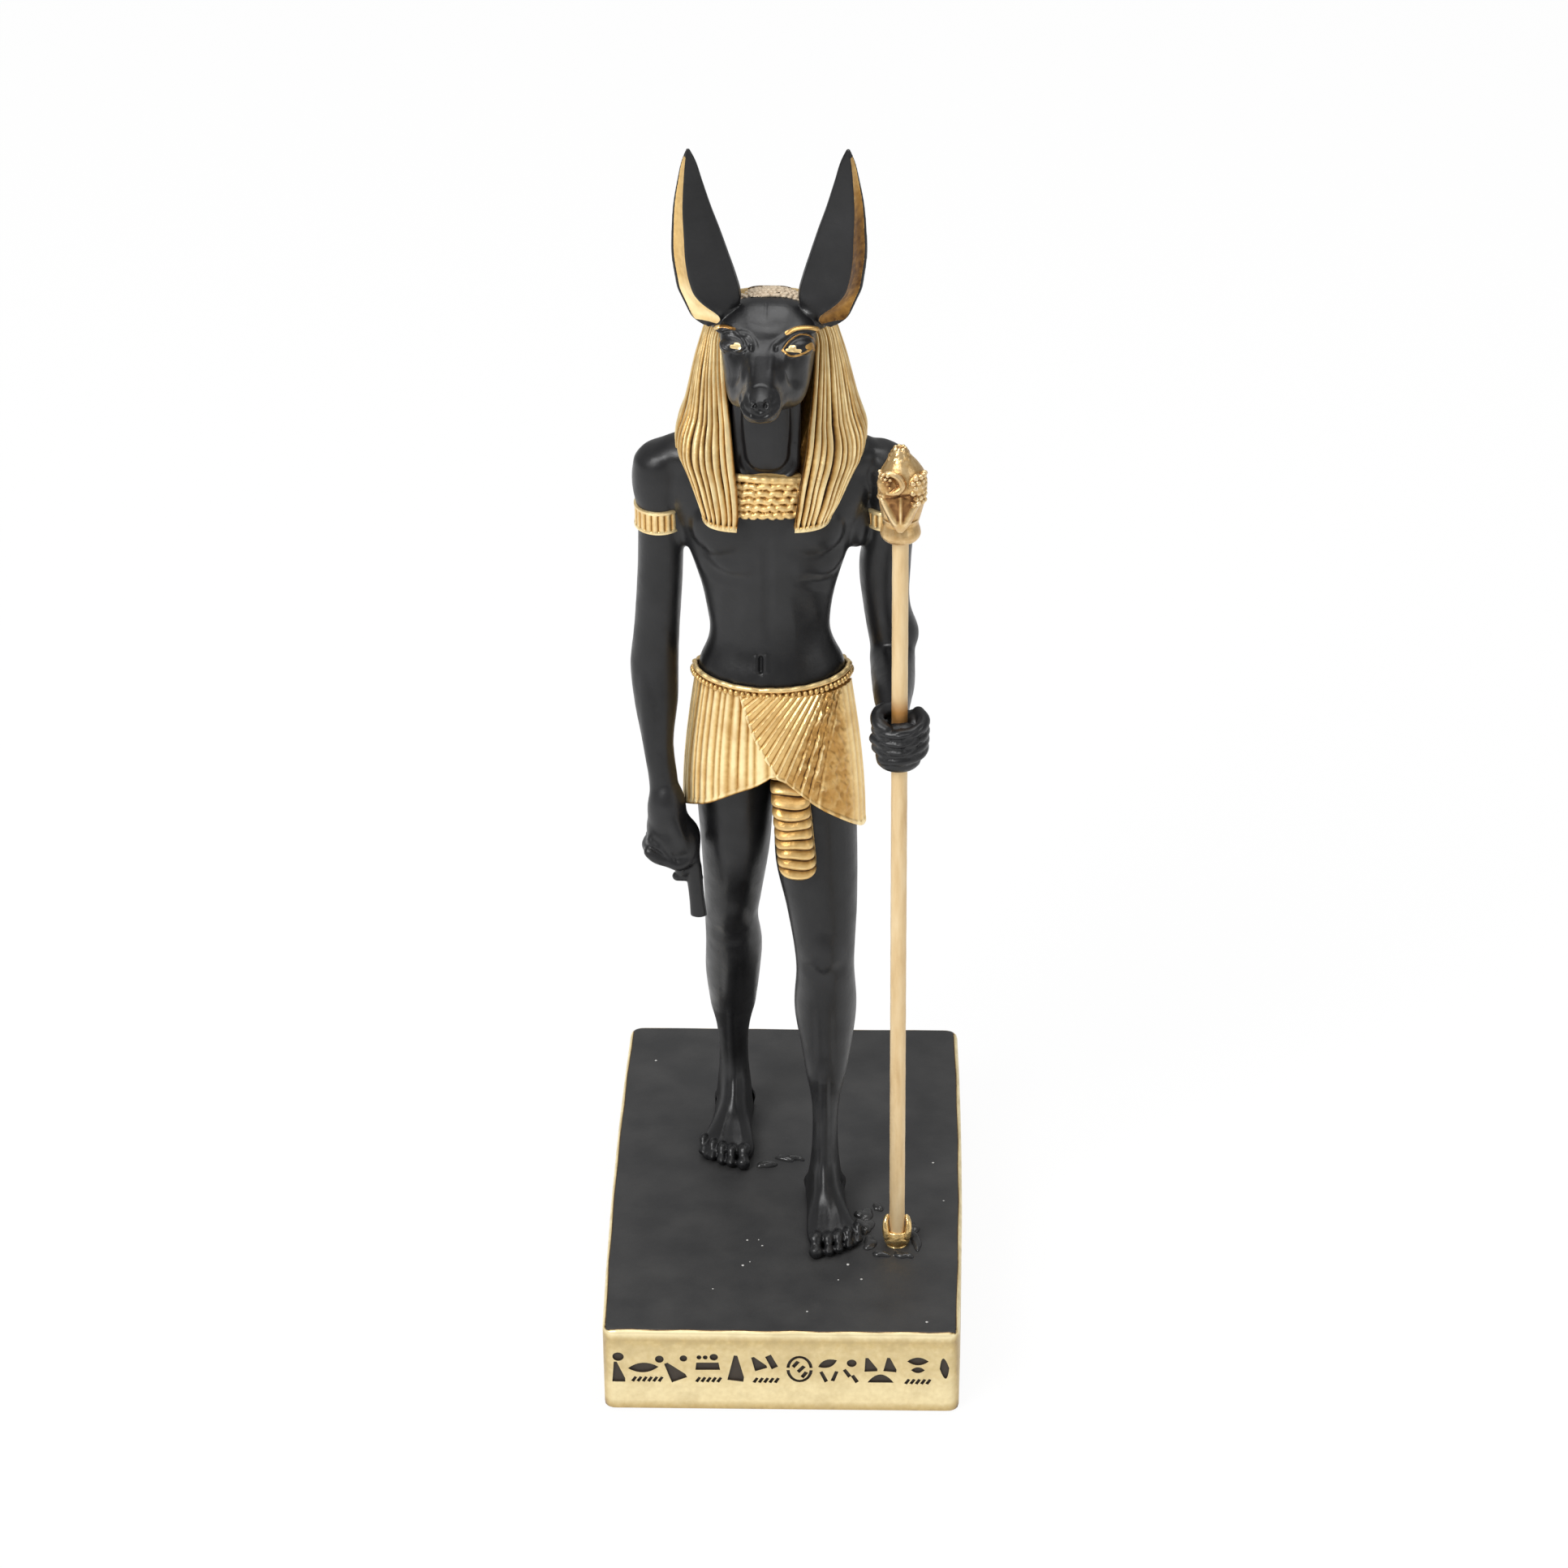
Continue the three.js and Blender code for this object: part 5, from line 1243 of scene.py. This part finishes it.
def paintHead(piece):
    points = getPoints(piece)
    normals = getNormals(piece)
    x, y, z = points.T
    facing = (normals @ lookAlong < 0.05) & (y < 2) & (z < 127.2) & (z > 119)
    gilt = np.zeros(len(points))
    washShadeAndHighlight = np.full(len(points), 0.6)
    for line, width, bright in faceGold:
        here = nearLine(points, line, width) * facing
        washShadeAndHighlight = np.where(here > 0.3, bright, washShadeAndHighlight)
        gilt = np.maximum(gilt, here)
    away, halfWidth, _ = earAt(z)
    strip = np.zeros(len(points))
    for side in (-1, 1):
        outward = side * (x - head["axis"])
        share = (outward - away) / np.maximum(halfWidth, 0.1)
        inside = np.clip((share - foldShare(z) - 0.02) / 0.05 + 0.5, 0, 1)
        inside = inside * np.clip((0.9 - share) / 0.05 + 0.5, 0, 1) * rise(z, 124.85, 0.2)
        strip = np.maximum(strip, inside * (z < 146.4) * (normals[:, 1] < 0.3) * (outward > 5.2))
    gilt = np.maximum(gilt, strip)
    setLevel(piece, "gilt", np.clip(gilt, 0, 1))
    # painted light: the left strip is painted palest low down as a painted highlight, and the right one is
    # painted brown as painted shade, as it turns from the light
    pale = np.where(x < head["axis"], 0.5 + 0.44 * fall(z, 131, 3) - 0.28 * fall(z, 126.4, 1.2),
                    0.15 + 0.12 * bell(z, 127.2, 1.4) + 0.25 * rise(z, 138, 6))
    setLevel(piece, "washShadeAndHighlight", np.where(strip > 0.3, pale, washShadeAndHighlight))


makeHead()
print("head done")


# Headdress: a horseshoe of uneven strands from the crown to the ends of the lappets

headdress = {
    # height, axis, half width, front, back, half opening
    "rows": [[127.0, -1.4, 2.2, 4.4, 6.6, 0.9], [126.7, -1.4, 3.5, 3.6, 7.6, 1.6],
             [126.1, -1.4, 5.4, 2.4, 8.9, 3], [124.8, -1.4, 7, 1.3, 10.4, 4.6],
             [122.3, -1.35, 8.1, 0.3, 11.8, 5.4], [118, -1.35, 9.4, -1, 12.6, 5.2],
             [113, -1.3, 10.6, -2.2, 12.6, 4.8], [109.4, -1.3, 11.9, -3, 12.2, 4.4],
             [107.2, -1.4, 11.8, -3.6, 11.5, 4.1], [104.5, -1.5, 10.3, -4.3, 10.8, 3.7],
             [101.5, -1.6, 9, -4.8, 10.3, 3.4], [99.2, -1.9, 7.95, -5.1, 10, 3.25]],
    "strands": 64, "strandDepth": 0.5, "notch": 4.6, "hem": 0.5,
    "typical": (11, 7.6, 2.8),        # the half width, half depth and power that the strands are spread on
    "outer": 730, "inner": 34, "down": 78,        # quads round outside, round inside and down
}


def makeHeaddress():
    spec = headdress
    rows = np.array(spec["rows"])[::-1]       # rising heights
    outer, inner = spec["outer"], spec["inner"]
    foot, top = rows[0, 0], rows[-1, 0]
    widths = chance.uniform(0.6, 1.4, spec["strands"])
    edges = np.concatenate([[0], np.cumsum(widths)]) / widths.sum()
    tops = chance.uniform(0.7, 1.0, spec["strands"])
    tints = chance.uniform(-0.16, 0.14, spec["strands"])
    leans = chance.uniform(0.35, 0.65, spec["strands"])
    even = np.linspace(0, 1, 2001)

    def outline(turn, halfWidth, halfDepth, power):
        # flatter in front at the lappets' ends
        sine, cosine = np.sin(turn), -np.cos(turn)
        reach = (np.abs(sine) ** power + np.abs(cosine) ** power) ** (-1 / power)
        return sine * reach * halfWidth, cosine * reach * halfDepth

    fromShare = math.asin(4.2 / 11.9)         # where the front edges lie on that outline
    turns = fromShare + (2 * np.pi - 2 * fromShare) * even
    a, b = outline(turns, *spec["typical"])
    length = np.concatenate([[0], np.cumsum(np.hypot(np.diff(a), np.diff(b)))])
    turnAt = np.interp(even, length / length[-1], even)

    def softly(z, column):
        return sum(np.interp(z + step, rows[:, 0], rows[:, column]) for step in (-0.8, -0.4, 0, 0.4, 0.8)) / 5

    def place(share, along):
        z = np.interp(along, [0, 0.02, 0.04, 1], [foot, foot + spec["hem"], foot + spec["hem"] + 0.25, top])
        axis, halfWidth, front, back, opening = (softly(z, column) for column in range(1, 6))
        power = np.interp(z, [102, 112], [3.8, 2.5])
        middle = (front + back) / 2
        halfDepth = (back - front) / 2
        start = np.arcsin(np.clip(opening / halfWidth, 0, 0.99))
        outerShare = outer / (outer + inner)
        onOuter = share <= outerShare
        at = np.clip(share / outerShare, 0, 1)
        turn = start + (2 * np.pi - 2 * start) * np.interp(at, even, turnAt)
        which = np.clip(np.searchsorted(edges, at, side="right") - 1, 0, len(widths) - 1)
        within = (at - edges[which]) / (edges[which + 1] - edges[which])
        lean = leans[which]
        slope = np.where(within < lean, within / lean, (1 - within) / (1 - lean))
        crown = (1 - (1 - slope) ** 1.8) * tops[which]
        hem = np.clip((foot + spec["hem"] + 0.1 - z) / 0.1, 0, 1)
        # painted shade: a dark line just over the hem band
        under = np.exp(-((z - foot - spec["hem"] - 0.3) / 0.25) ** 2)
        frontal = np.clip(1 - np.abs(at - 0.5) * 2, 0, 1) < 0.42
        # painted shade: the lappets' outer sides are painted darker amber, as they turn from the light
        amberShade = frontal * np.where(at < 0.5, rise(at, 0.05, 0.1), 0.7 * fall(at, 0.95, 0.08))
        # painted highlights on the strands' crests and painted shade in their grooves, with a random tint for
        # each strand
        washShadeAndHighlight = (-0.03 + 1.06 * slope ** 0.85 + tints[which] + 0.05 * np.sin(z * 0.35 + which)
                + 0.07 * np.sin(z * 0.8 + which * 2.3) - 0.1 * amberShade)
        washShadeAndHighlight = washShadeAndHighlight * (1 - hem) + 0.86 * hem - 0.3 * under
        crown = crown * (1 - hem) + 0.95 * hem
        crown = crown * np.clip((top - 0.1 - z) / 1.2, 0.15, 1)
        a, b = outline(turn, halfWidth, halfDepth, power)
        size = np.maximum(np.hypot(a, b), 0.1)
        lift = (crown - 0.8) * spec["strandDepth"]
        x = axis + a * (1 + lift / size)
        y = middle + b * (1 + lift / size)
        a0, b0 = outline(start, halfWidth, halfDepth, power)
        x0, x1, y0 = axis + a0, axis - a0, middle + b0
        half = np.pi * np.clip((share - outerShare) / (1 - outerShare), 0, 1)
        depth = np.minimum(halfDepth * 0.9, spec["notch"])
        innerX = (x0 + x1) / 2 - squared(np.cos(half), 0.45) * (x0 - x1) / 2
        innerY = y0 + depth * np.sin(half) ** 0.45
        # painted shade: the inside of the opening is painted darker the deeper it lies
        dark = np.clip((innerY - y0) / 0.4, 0, 1)
        washShadeAndHighlight = np.where(onOuter, washShadeAndHighlight, 0.3 - 0.3 * dark)
        return (np.where(onOuter, x, innerX), np.where(onOuter, y, innerY), z, np.clip(washShadeAndHighlight, 0, 1),
                np.where(onOuter, 0.15 + 0.25 * amberShade, 0))

    piece = sheet("headdress", outer + inner, spec["down"], place)
    finishPiece(piece, antiqueGold, "figure", sharp=60)


makeHeaddress()

# the crown's patch of small beads between the ears
crown = {
    "middle": (-1.2, 4.2, 122.6), "half": (6.2, 4.9, 4.95), "rows": 12, "across": 18, "bead": 0.36,
    "cuts": [((0, 2.9, 127.3), (0, 1, 0.3)), ((0, 0, 124.8), (0, 0, 1))],      # a point, a direction
    "voxel": 0.12, "triangles": 26000,
}


def makeCrown():
    piece = startPiece("crown_patch")
    x, y, z = crown["middle"]
    halfX, halfY, halfZ = crown["half"]
    swell(x, y, z, halfX - 0.12, halfY - 0.12, halfZ - 0.12, segments=40)
    endEdit()
    beads = []
    for row in range(crown["rows"]):
        lean = math.radians(-36 + 88 * row / (crown["rows"] - 1))
        beads.append(startPiece("beads"))
        for step in range(crown["across"]):
            at = step + row % 2 / 2 + chance.uniform(-0.2, 0.2)
            side = math.radians(-54 + 108 * at / crown["across"])
            size = crown["bead"] * chance.uniform(0.75, 1.1)
            swell(x + halfX * math.sin(side), y + halfY * math.sin(lean) * math.cos(side * 0.6),
                  z + halfZ * math.cos(lean) * math.cos(side), size, size, size * 0.65, segments=8)
        endEdit()
    joinTo(piece, beads)
    bpy.ops.object.mode_set(mode="EDIT")
    for place, direction in crown["cuts"]:
        bpy.ops.mesh.select_all(action="SELECT")
        bpy.ops.mesh.bisect(plane_co=place, plane_no=direction, use_fill=True, clear_inner=True)
    endEdit()
    fuse(piece, crown["voxel"], 3)
    hollows(piece, 0.3, 10)
    thin(piece, crown["triangles"])
    finishPiece(piece, goldPaint("crownGold", crownColours, 0.6, 0.2, 500), "figure")


makeCrown()


# Collar of beads between the lappets, and an armband on each arm

collar = {
    "middle": -1.75, "height": 105.45,
    "ropes": 6, "ropeDrop": 0.88, "topRope": 0.5, "rope": 0.4,
    "backs": 5, "backHeight": 105.2, "backDrop": 1.05,
    "voxel": 0.1, "triangles": 34000,
}
armband = {
    "ribs": 22, "rim": 0.46, "lift": 0.42,
    # middle x and y, low, high, half width, half depth
    "right": (-15.4, 4, 95.8, 99.0, 2.8, 3.2), "left": (13.42, 4.85, 96.0, 98.7, 3.0, 3.3),
}


def makeCollar():
    piece = startPiece("collar")
    middle = collar["middle"]
    for row in range(collar["backs"]):
        swell(middle, -1.55 - 0.22 * row, collar["backHeight"] - collar["backDrop"] * row, 4.5, 1.6, 0.8,
              segments=24)
    endEdit()
    ropes = []
    for row in range(collar["ropes"]):        # wavy ropes, the top one thick and sloping down to the right
        thick = collar["topRope"] if row == 0 else collar["rope"]
        path = []
        for x in np.arange(-6.3, 2.9, 0.28):
            bow = ((x - middle) / 4.6) ** 2
            wave = 0.13 * math.sin(x * (2.9 + 0.5 * row) + row * 2.1) + 0.07 * math.sin(x * 7.3 + row)
            slope = -0.07 * (x - middle) if row == 0 else 0
            path.append([x, -3.1 - 0.2 * row + 0.9 * bow,
                         collar["height"] - collar["ropeDrop"] * row + wave * (row > 0) + slope - 0.25 * bow,
                         thick + 0.04 * math.sin(x * 5.9 + row * 1.7)])
        ropes.append(finger(path, 0.2))
    joinTo(piece, ropes)
    fuse(piece, collar["voxel"], 5)
    hollows(piece, 0.15, 14)
    thin(piece, collar["triangles"])
    finishPiece(piece, goldPaint("collarGold", goldColours, 0.4, 0.6), "figure")


def makeArmband(side):
    x, y, low, high, halfX, halfY = armband[side]

    def place(turn, share):
        angle = turn * 2 * np.pi
        z = low + (high - low) * rise(share, 0.1, 0.8)
        edge = np.minimum(z - low, high - z)
        rib = np.abs(np.cos(angle * armband["ribs"] / 2))
        rim = edge < armband["rim"]
        lift = armband["lift"] * np.where(rim, 0.9, 0.3 + 0.42 * rib ** 0.6)
        lift = np.where((share < 0.05) | (share > 0.95), -0.5, lift * np.clip(edge / 0.12, 0.35, 1))
        # painted highlights on the rims and the ribs' crests, and painted shade in the grooves
        washShadeAndHighlight = np.where(rim, 0.9, 0.2 + 0.6 * rib)
        return (x + (halfX + lift) * np.cos(angle), y + (halfY + lift) * np.sin(angle), z, washShadeAndHighlight, 0.2 + 0 * z)

    finishPiece(sheet("armband_" + side, 264, 30, place), antiqueGold, "figure", sharp=60)


makeCollar()
makeArmband("right")
makeArmband("left")
print("headdress, collar and armbands done")


# Kilt: fluted round the body, with a wrap-over panel whose pleats fan out from the hip

kilt = {
    "top": 76.3, "axisX": -1.5, "axisY": 3,
    "waistWidth": 9.65, "waistDepth": 6.5, "spreadWidth": 2.0, "spreadDepth": 1.5, "thickness": 1,
    # the hem: degrees round the body, height
    "hem": [[0, 55.8], [20, 55.3], [45, 55.2], [90, 56], [135, 56], [180, 56], [225, 59.0], [250, 61.9],
            [262, 62.9], [274, 64.9], [286, 62.2], [298, 59.7], [312, 57.6], [328, 55.5], [343, 54.0],
            [350, 54.3], [356, 55.2], [360, 55.8]],
    "flutes": 56, "fluteDepth": 0.36, "backDrop": 1.3,
    "rows": 52, "outerRows": 44,          # of the skirt, with those outside
    "panelFrom": [246, 274], "panelTo": 352, "panelTop": 0.062, "panelLift": 0.5, "panelOuter": 0.9,
    "fanX": 8.95, "fanHeight": 72.4,      # where the pleats spring from, seen from the front
    "pleat": 3.15,                         # degrees of the fan for each
}
hemTable = np.array(kilt["hem"], float)


def backDrop(angle):
    # the waist sits lower behind
    return kilt["backDrop"] * np.clip(np.sin(angle) + 0.15, 0, 1)


def mottle(a, b):
    # uneven lumps over two directions in millimetres, without a regular repeat
    total = 0
    for i in range(9):
        lean = 2.4 * i
        rate = 1.3 + 0.36 * i
        total = total + np.sin((a * math.cos(lean) + b * math.sin(lean)) * rate + 1.7 * i
                               + 0.9 * np.sin(0.8 * a + 0.37 * i * b))
    return total / 3


def kiltSurface(turn, share, lift):
    # turn in degrees round the body, share of the way from belt to hem
    angle = np.radians(turn)
    spread = np.sin(share * np.pi / 2)
    halfWidth = kilt["waistWidth"] + kilt["spreadWidth"] * spread
    halfDepth = kilt["waistDepth"] + kilt["spreadDepth"] * spread
    hem = sum(np.interp((turn + step) % 360, hemTable[:, 0], hemTable[:, 1]) for step in (0, 5, -5)) / 3
    top = kilt["top"] - backDrop(angle)
    return (kilt["axisX"] + np.cos(angle) * (halfWidth + lift),
            kilt["axisY"] + np.sin(angle) * (halfDepth + lift), top + (hem - top) * share)


def makeSkirt():
    outside = kilt["outerRows"]

    def place(turnShare, rowShare):
        rows = rowShare * kilt["rows"]
        share = np.clip(rows / outside, 0, 1)
        uneven = 0.7 * np.sin(turnShare * 2 * np.pi * 17), 0.5 * np.sin(turnShare * 2 * np.pi * 29 + 1)
        turn = turnShare * 360 + uneven[0] + uneven[1]
        phase = np.abs(np.cos(np.radians(turn) * kilt["flutes"] / 2))
        flute = phase ** 0.8
        depth = kilt["fluteDepth"] * (1.0 - 0.35 * share) * (0.8 + 0.3 * np.sin(turn * 0.21))
        lift = depth * (flute - 1)
        rim = rise(share, 0.955, 0.02)
        lift = lift * (1 - 0.6 * rim) + 0.1 * rim
        turn = turnShare * 360
        x, y, z = kiltSurface(turn, share, lift)
        z = z + 0.10 * (flute - 0.5) * rim
        back = np.clip((rows - outside) / (kilt["rows"] - outside), 0, 1)
        inward = kilt["thickness"] * np.clip(back * 3, 0, 1)
        x0, y0, z0 = kiltSurface(turn, 1 - np.clip(back * 1.5 - 0.5, 0, 1), -inward)
        under = rows > outside
        beltShade = np.exp(-(share / 0.07) ** 2)
        # painted highlights on the flutes' crests and painted shade in their grooves and on the inside
        washShadeAndHighlight = 0.3 + 0.52 * phase ** 1.4 - 0.34 * beltShade + 0.06 * share + 0.2 * rim
        worn = 0.3 * beltShade + 0.15 * (1 - share) + 0.1 * np.sin(turn * 0.05) ** 2
        return (np.where(under, x0, x), np.where(under, y0, y),
                np.where(under, z0 + 0.15 * np.clip(back * 3, 0, 1), z), np.where(under, 0.1, washShadeAndHighlight), worn)

    piece = sheet("kilt_skirt", 728, kilt["rows"], place)
    finishPiece(piece, antiqueGold, "figure", sharp=60)


def makePanel():
    spec = kilt
    outerShare = spec["panelOuter"]

    def place(around, rowShare):
        turnShare = np.clip(around / outerShare, 0, 1)
        inner = np.clip((around - outerShare) / (1 - outerShare), 0, 1)
        inside = (inner > 0.001) & (inner < 0.999)
        turnShare = np.where(inside, 1 - inner, np.where(inner >= 0.999, 0, turnShare))
        share = spec["panelTop"] + (1 - spec["panelTop"]) * rowShare
        start = spec["panelFrom"][0] + (spec["panelFrom"][1] - spec["panelFrom"][0]) * share
        turn = start + (spec["panelTo"] - start) * turnShare
        x, y, z = kiltSurface(turn, share, spec["panelLift"])
        sideways = x - spec["fanX"]
        downward = spec["fanHeight"] - (z * math.cos(down) + y * math.sin(down))
        fan = np.degrees(np.arctan2(downward, -sideways))
        within = fan / spec["pleat"] - np.floor(fan / spec["pleat"])
        ridge = bell(within, 0.16, 0.1)
        groove = bell(within, 0.92, 0.06) * fall(share, 0.955, 0.03)
        slope = (1 - within) * (within > 0.16)
        pleated = fall(fan, 82, 6)             # the fan, then rubbed pleats painted darker amber as painted shade, then soft upright folds
        folds = rise(turn, 324, 10)
        rubbedAndShaded = rise(fan, 64, 6) * (1 - folds)
        soft = 0.5 + 0.5 * np.cos(np.radians(turn) * spec["flutes"] * 0.9)
        broken = np.clip(0.5 + 0.6 * mottle(0.5 * z + 9, 0.3 * turn), 0, 1)
        lumps = mottle(1.5 * z, 0.26 * turn)
        lift = (0.28 * ridge + 0.12 * slope - 0.05 * groove) * pleated * (1 - 0.75 * rubbedAndShaded * broken)
        bumps = 0.11 * np.clip(lumps, -0.5, 2) * rubbedAndShaded * fall(share, 0.95, 0.06)
        lift = lift * (1 - folds) + 0.13 * soft * folds + bumps
        rim = rise(share, 0.965, 0.015)
        edge = fall(turnShare, 0.018, 0.007)
        lift = lift * (1 - rim) + 0.2 * rim
        lift = lift * (1 - edge) + 0.2 * edge
        lift = lift * fall(turnShare, 1, 0.04)
        # painted highlights on the pleats' ridges and painted shadow lines in their grooves; the rubbed
        # pleats are mottled darker as painted shade
        washShadeAndHighlight = 0.55 + 0.5 * ridge * pleated * (1 - 0.3 * rubbedAndShaded * (broken > 0.55)) - 0.36 * groove * pleated
        washShadeAndHighlight = washShadeAndHighlight - 0.05 * (1 - slope) * pleated - rubbedAndShaded * (0.13 + 0.14 * np.clip(-lumps, 0, 1.2))
        washShadeAndHighlight = washShadeAndHighlight * (1 - folds) + (0.56 + 0.14 * soft) * folds + 0.2 * np.maximum(rim, edge)
        worn = 0.06 + 0.8 * rubbedAndShaded
        lift = np.where(inside, -0.3, spec["panelLift"] + lift - 0.15)
        x, y, z = kiltSurface(turn, share, lift)
        return x, y, z, np.clip(np.where(inside, 0.2, washShadeAndHighlight), 0, 1), worn * (1 - 0.85 * folds)

    piece = sheet("kilt_panel", 360, 132, place)
    finishPiece(piece, antiqueGold, "figure", sharp=60)


# a rope round the waist, with a row of beads under it
belt = {"rise": 0.3, "out": 0.12, "thick": 0.34, "dip": 0.45, "beads": 78, "beadDrop": 0.72, "beadOut": 0.46}


def makeBelt():
    def sag(turn):
        return -belt["dip"] * np.clip(-np.sin(turn), 0, 1) ** 2 - backDrop(turn)

    def place(turnShare, rowShare):
        turn = turnShare * 2 * np.pi
        ring = rowShare * 2 * np.pi
        wave = 0.05 * np.sin(turn * 19) + 0.04 * np.sin(turn * 31 + 1)
        out = belt["out"] + belt["thick"] * np.cos(ring) + wave
        x = kilt["axisX"] + np.cos(turn) * (kilt["waistWidth"] + out)
        y = kilt["axisY"] + np.sin(turn) * (kilt["waistDepth"] + out)
        z = kilt["top"] + belt["rise"] + sag(turn) + belt["thick"] * np.sin(ring) + wave
        # painted highlight on top of the rope and painted shade under it
        return x, y, z, 0.66 + 0.16 * np.sin(ring), 0.15 + 0 * z

    rim = sheet("belt", 360, 16, place)
    bpy.ops.object.mode_set(mode="EDIT")
    for i in range(belt["beads"]):
        turn = 2 * math.pi * i / belt["beads"]
        swell(kilt["axisX"] + math.cos(turn) * (kilt["waistWidth"] + belt["beadOut"]),
              kilt["axisY"] + math.sin(turn) * (kilt["waistDepth"] + belt["beadOut"]),
              kilt["top"] + belt["rise"] + sag(turn) - belt["beadDrop"] + chance.uniform(-0.05, 0.05),
              0.3, chance.uniform(0.27, 0.34), chance.uniform(0.36, 0.44), turnZ=math.degrees(turn),
              segments=12)
    endEdit()
    points = getPoints(rim)
    turn = np.arctan2((points[:, 1] - kilt["axisY"]) / kilt["waistDepth"],
                      (points[:, 0] - kilt["axisX"]) / kilt["waistWidth"])
    # painted shade: the beads are painted darker the lower they hang under the rope
    level = points[:, 2] - kilt["top"] - belt["rise"] - sag(turn)
    setLevel(rim, "washShadeAndHighlight", np.clip(0.62 + 0.2 * level, 0.4, 0.85))
    finishPiece(rim, antiqueGold, "figure")


# the ribbed tab that hangs from under the panel
tab = {"top": 65.2, "bottom": 50.2, "ribs": 10.6, "axis": 1.25, "halfWidth": 2.45, "front": -5.95,
       "back": -3.2, "lean": 0.04, "ribDepth": 0.42}


def makeTab():
    def place(turn, share):
        z = tab["top"] + (tab["bottom"] - tab["top"]) * rise(share, 0.02, 0.96)
        rib = (tab["top"] - z) / ((tab["top"] - tab["bottom"]) / tab["ribs"]) + 0.4
        within = rib - np.floor(rib)
        roll = np.sin(np.pi * np.clip(within, 0, 1) ** 1.6) ** 0.7
        angle = turn * 2 * np.pi
        chamfer = np.clip((z - tab["bottom"]) / 0.9, 0, 1) ** 0.6
        halfWidth = (tab["halfWidth"] - 0.12 + 0.16 * roll) * (0.72 + 0.28 * chamfer)
        shut = np.where(ends(share), 0.03, 1)
        cosine, sine = np.cos(angle), np.sin(angle)
        x = squared(cosine, 0.6) * halfWidth
        tuck = 2.6 * rise(z, 59.3, 3.6) ** 1.4        # it comes out from under the panel
        frontY = tab["front"] - tab["lean"] * (66 - z) - tab["ribDepth"] * roll + tuck
        back = tab["back"] + np.clip(tuck - 1.2, 0, 1.2)
        middle = (frontY + back) / 2
        halfDepth = (back - frontY) / 2
        y = squared(sine, 0.6) * halfDepth + 0.25 * np.abs(x / halfWidth) ** 3 * (sine < 0)
        # painted highlights on the rolls, and a painted shadow line under each rib
        washShadeAndHighlight = 0.17 + 0.42 * roll - 0.3 * (within > 0.86) - 0.12 * (within < 0.08)
        return (tab["axis"] + x * shut - 0.09 * (z - 57), middle + y * shut,
                z + 0.12 * np.sin(x * 1.2 + rib) * (sine < 0), np.clip(washShadeAndHighlight, 0, 1), 0.2 + 0 * z)

    finishPiece(sheet("tab", 80, 170, place), antiqueGold, "figure", sharp=70)


makeSkirt()
makePanel()
makeBelt()
makeTab()
print("kilt done")


# Floor, light and camera

studio = {
    "floor": 6, "pale": 0.85, "glow": 0.93, "surround": 0.4,
    "aim": (0, 0, 0.08),
    # place, size, power
    "lights": {"key": ((-0.50, -0.60, 0.80), 0.45, 8.8), "top": ((0.05, 0.10, 0.95), 0.6, 4.5),
               "fill": ((0.75, -0.50, 0.35), 0.5, 1.0)},
}


def makeStudio():
    clearSelection()
    bpy.ops.mesh.primitive_plane_add(size=studio["floor"])
    floor = bpy.context.object
    floor.name = "floor"
    finish = Finish("paleFloor")
    finish.feed({"Base Color": (studio["pale"],) * 3, "Roughness": 0.9})
    glow = finish.nodes.new("ShaderNodeEmission")
    seen = finish.nodes.new("ShaderNodeLightPath")
    mixed = finish.nodes.new("ShaderNodeMixShader")
    share = finish.sums("MULTIPLY", seen.outputs["Is Camera Ray"], studio["glow"])
    for source, socket in ((share, mixed.inputs["Fac"]), (finish.shader.outputs["BSDF"], mixed.inputs[1]),
                           (glow.outputs["Emission"], mixed.inputs[2]),
                           (mixed.outputs["Shader"], finish.nodes["Material Output"].inputs["Surface"])):
        finish.connect(source, socket)
    floor.data.materials.append(finish.material)

    world = bpy.data.worlds.new("studio")
    bpy.context.scene.world = world
    world.use_nodes = True
    background = world.node_tree.nodes["Background"]
    background.inputs["Color"].default_value = (1, 1, 1, 1)
    background.inputs["Strength"].default_value = studio["surround"]

    for name, (place, size, power) in studio["lights"].items():
        clearSelection()
        bpy.ops.object.light_add(type="AREA", location=place)
        light = bpy.context.object
        light.name = name
        light.data.shape = "SQUARE"
        light.data.size = size
        light.data.energy = power
        light.rotation_euler = (Vector(place) - Vector(studio["aim"])).to_track_quat("Z", "Y").to_euler()


camera = {"place": (0.01645, -0.53446, 0.38692), "yaw": -1.766, "pitch": 30.419, "roll": -0.507,
          "lens": 111.37, "sensor": 36}


def makeCamera():
    yaw, pitch, roll = (math.radians(camera[name]) for name in ("yaw", "pitch", "roll"))
    ahead = np.array([math.sin(yaw) * math.cos(pitch), math.cos(yaw) * math.cos(pitch), -math.sin(pitch)])
    right = np.array([math.cos(yaw), -math.sin(yaw), 0])
    up = np.cross(right, ahead)
    rightTurned = right * math.cos(roll) + up * math.sin(roll)
    upTurned = up * math.cos(roll) - right * math.sin(roll)
    clearSelection()
    bpy.ops.object.camera_add()
    made = bpy.context.object
    made.name = "camera"
    matrix = Matrix.Identity(4)
    for column, axis in enumerate((rightTurned, upTurned, -ahead, camera["place"])):
        for row in range(3):
            matrix[row][column] = axis[row]
    made.matrix_world = matrix
    made.data.lens = camera["lens"]
    made.data.sensor_width = camera["sensor"]
    made.data.clip_start = 0.01
    bpy.context.scene.camera = made


makeStudio()
makeCamera()
bpy.context.scene.view_settings.view_transform = "Standard"
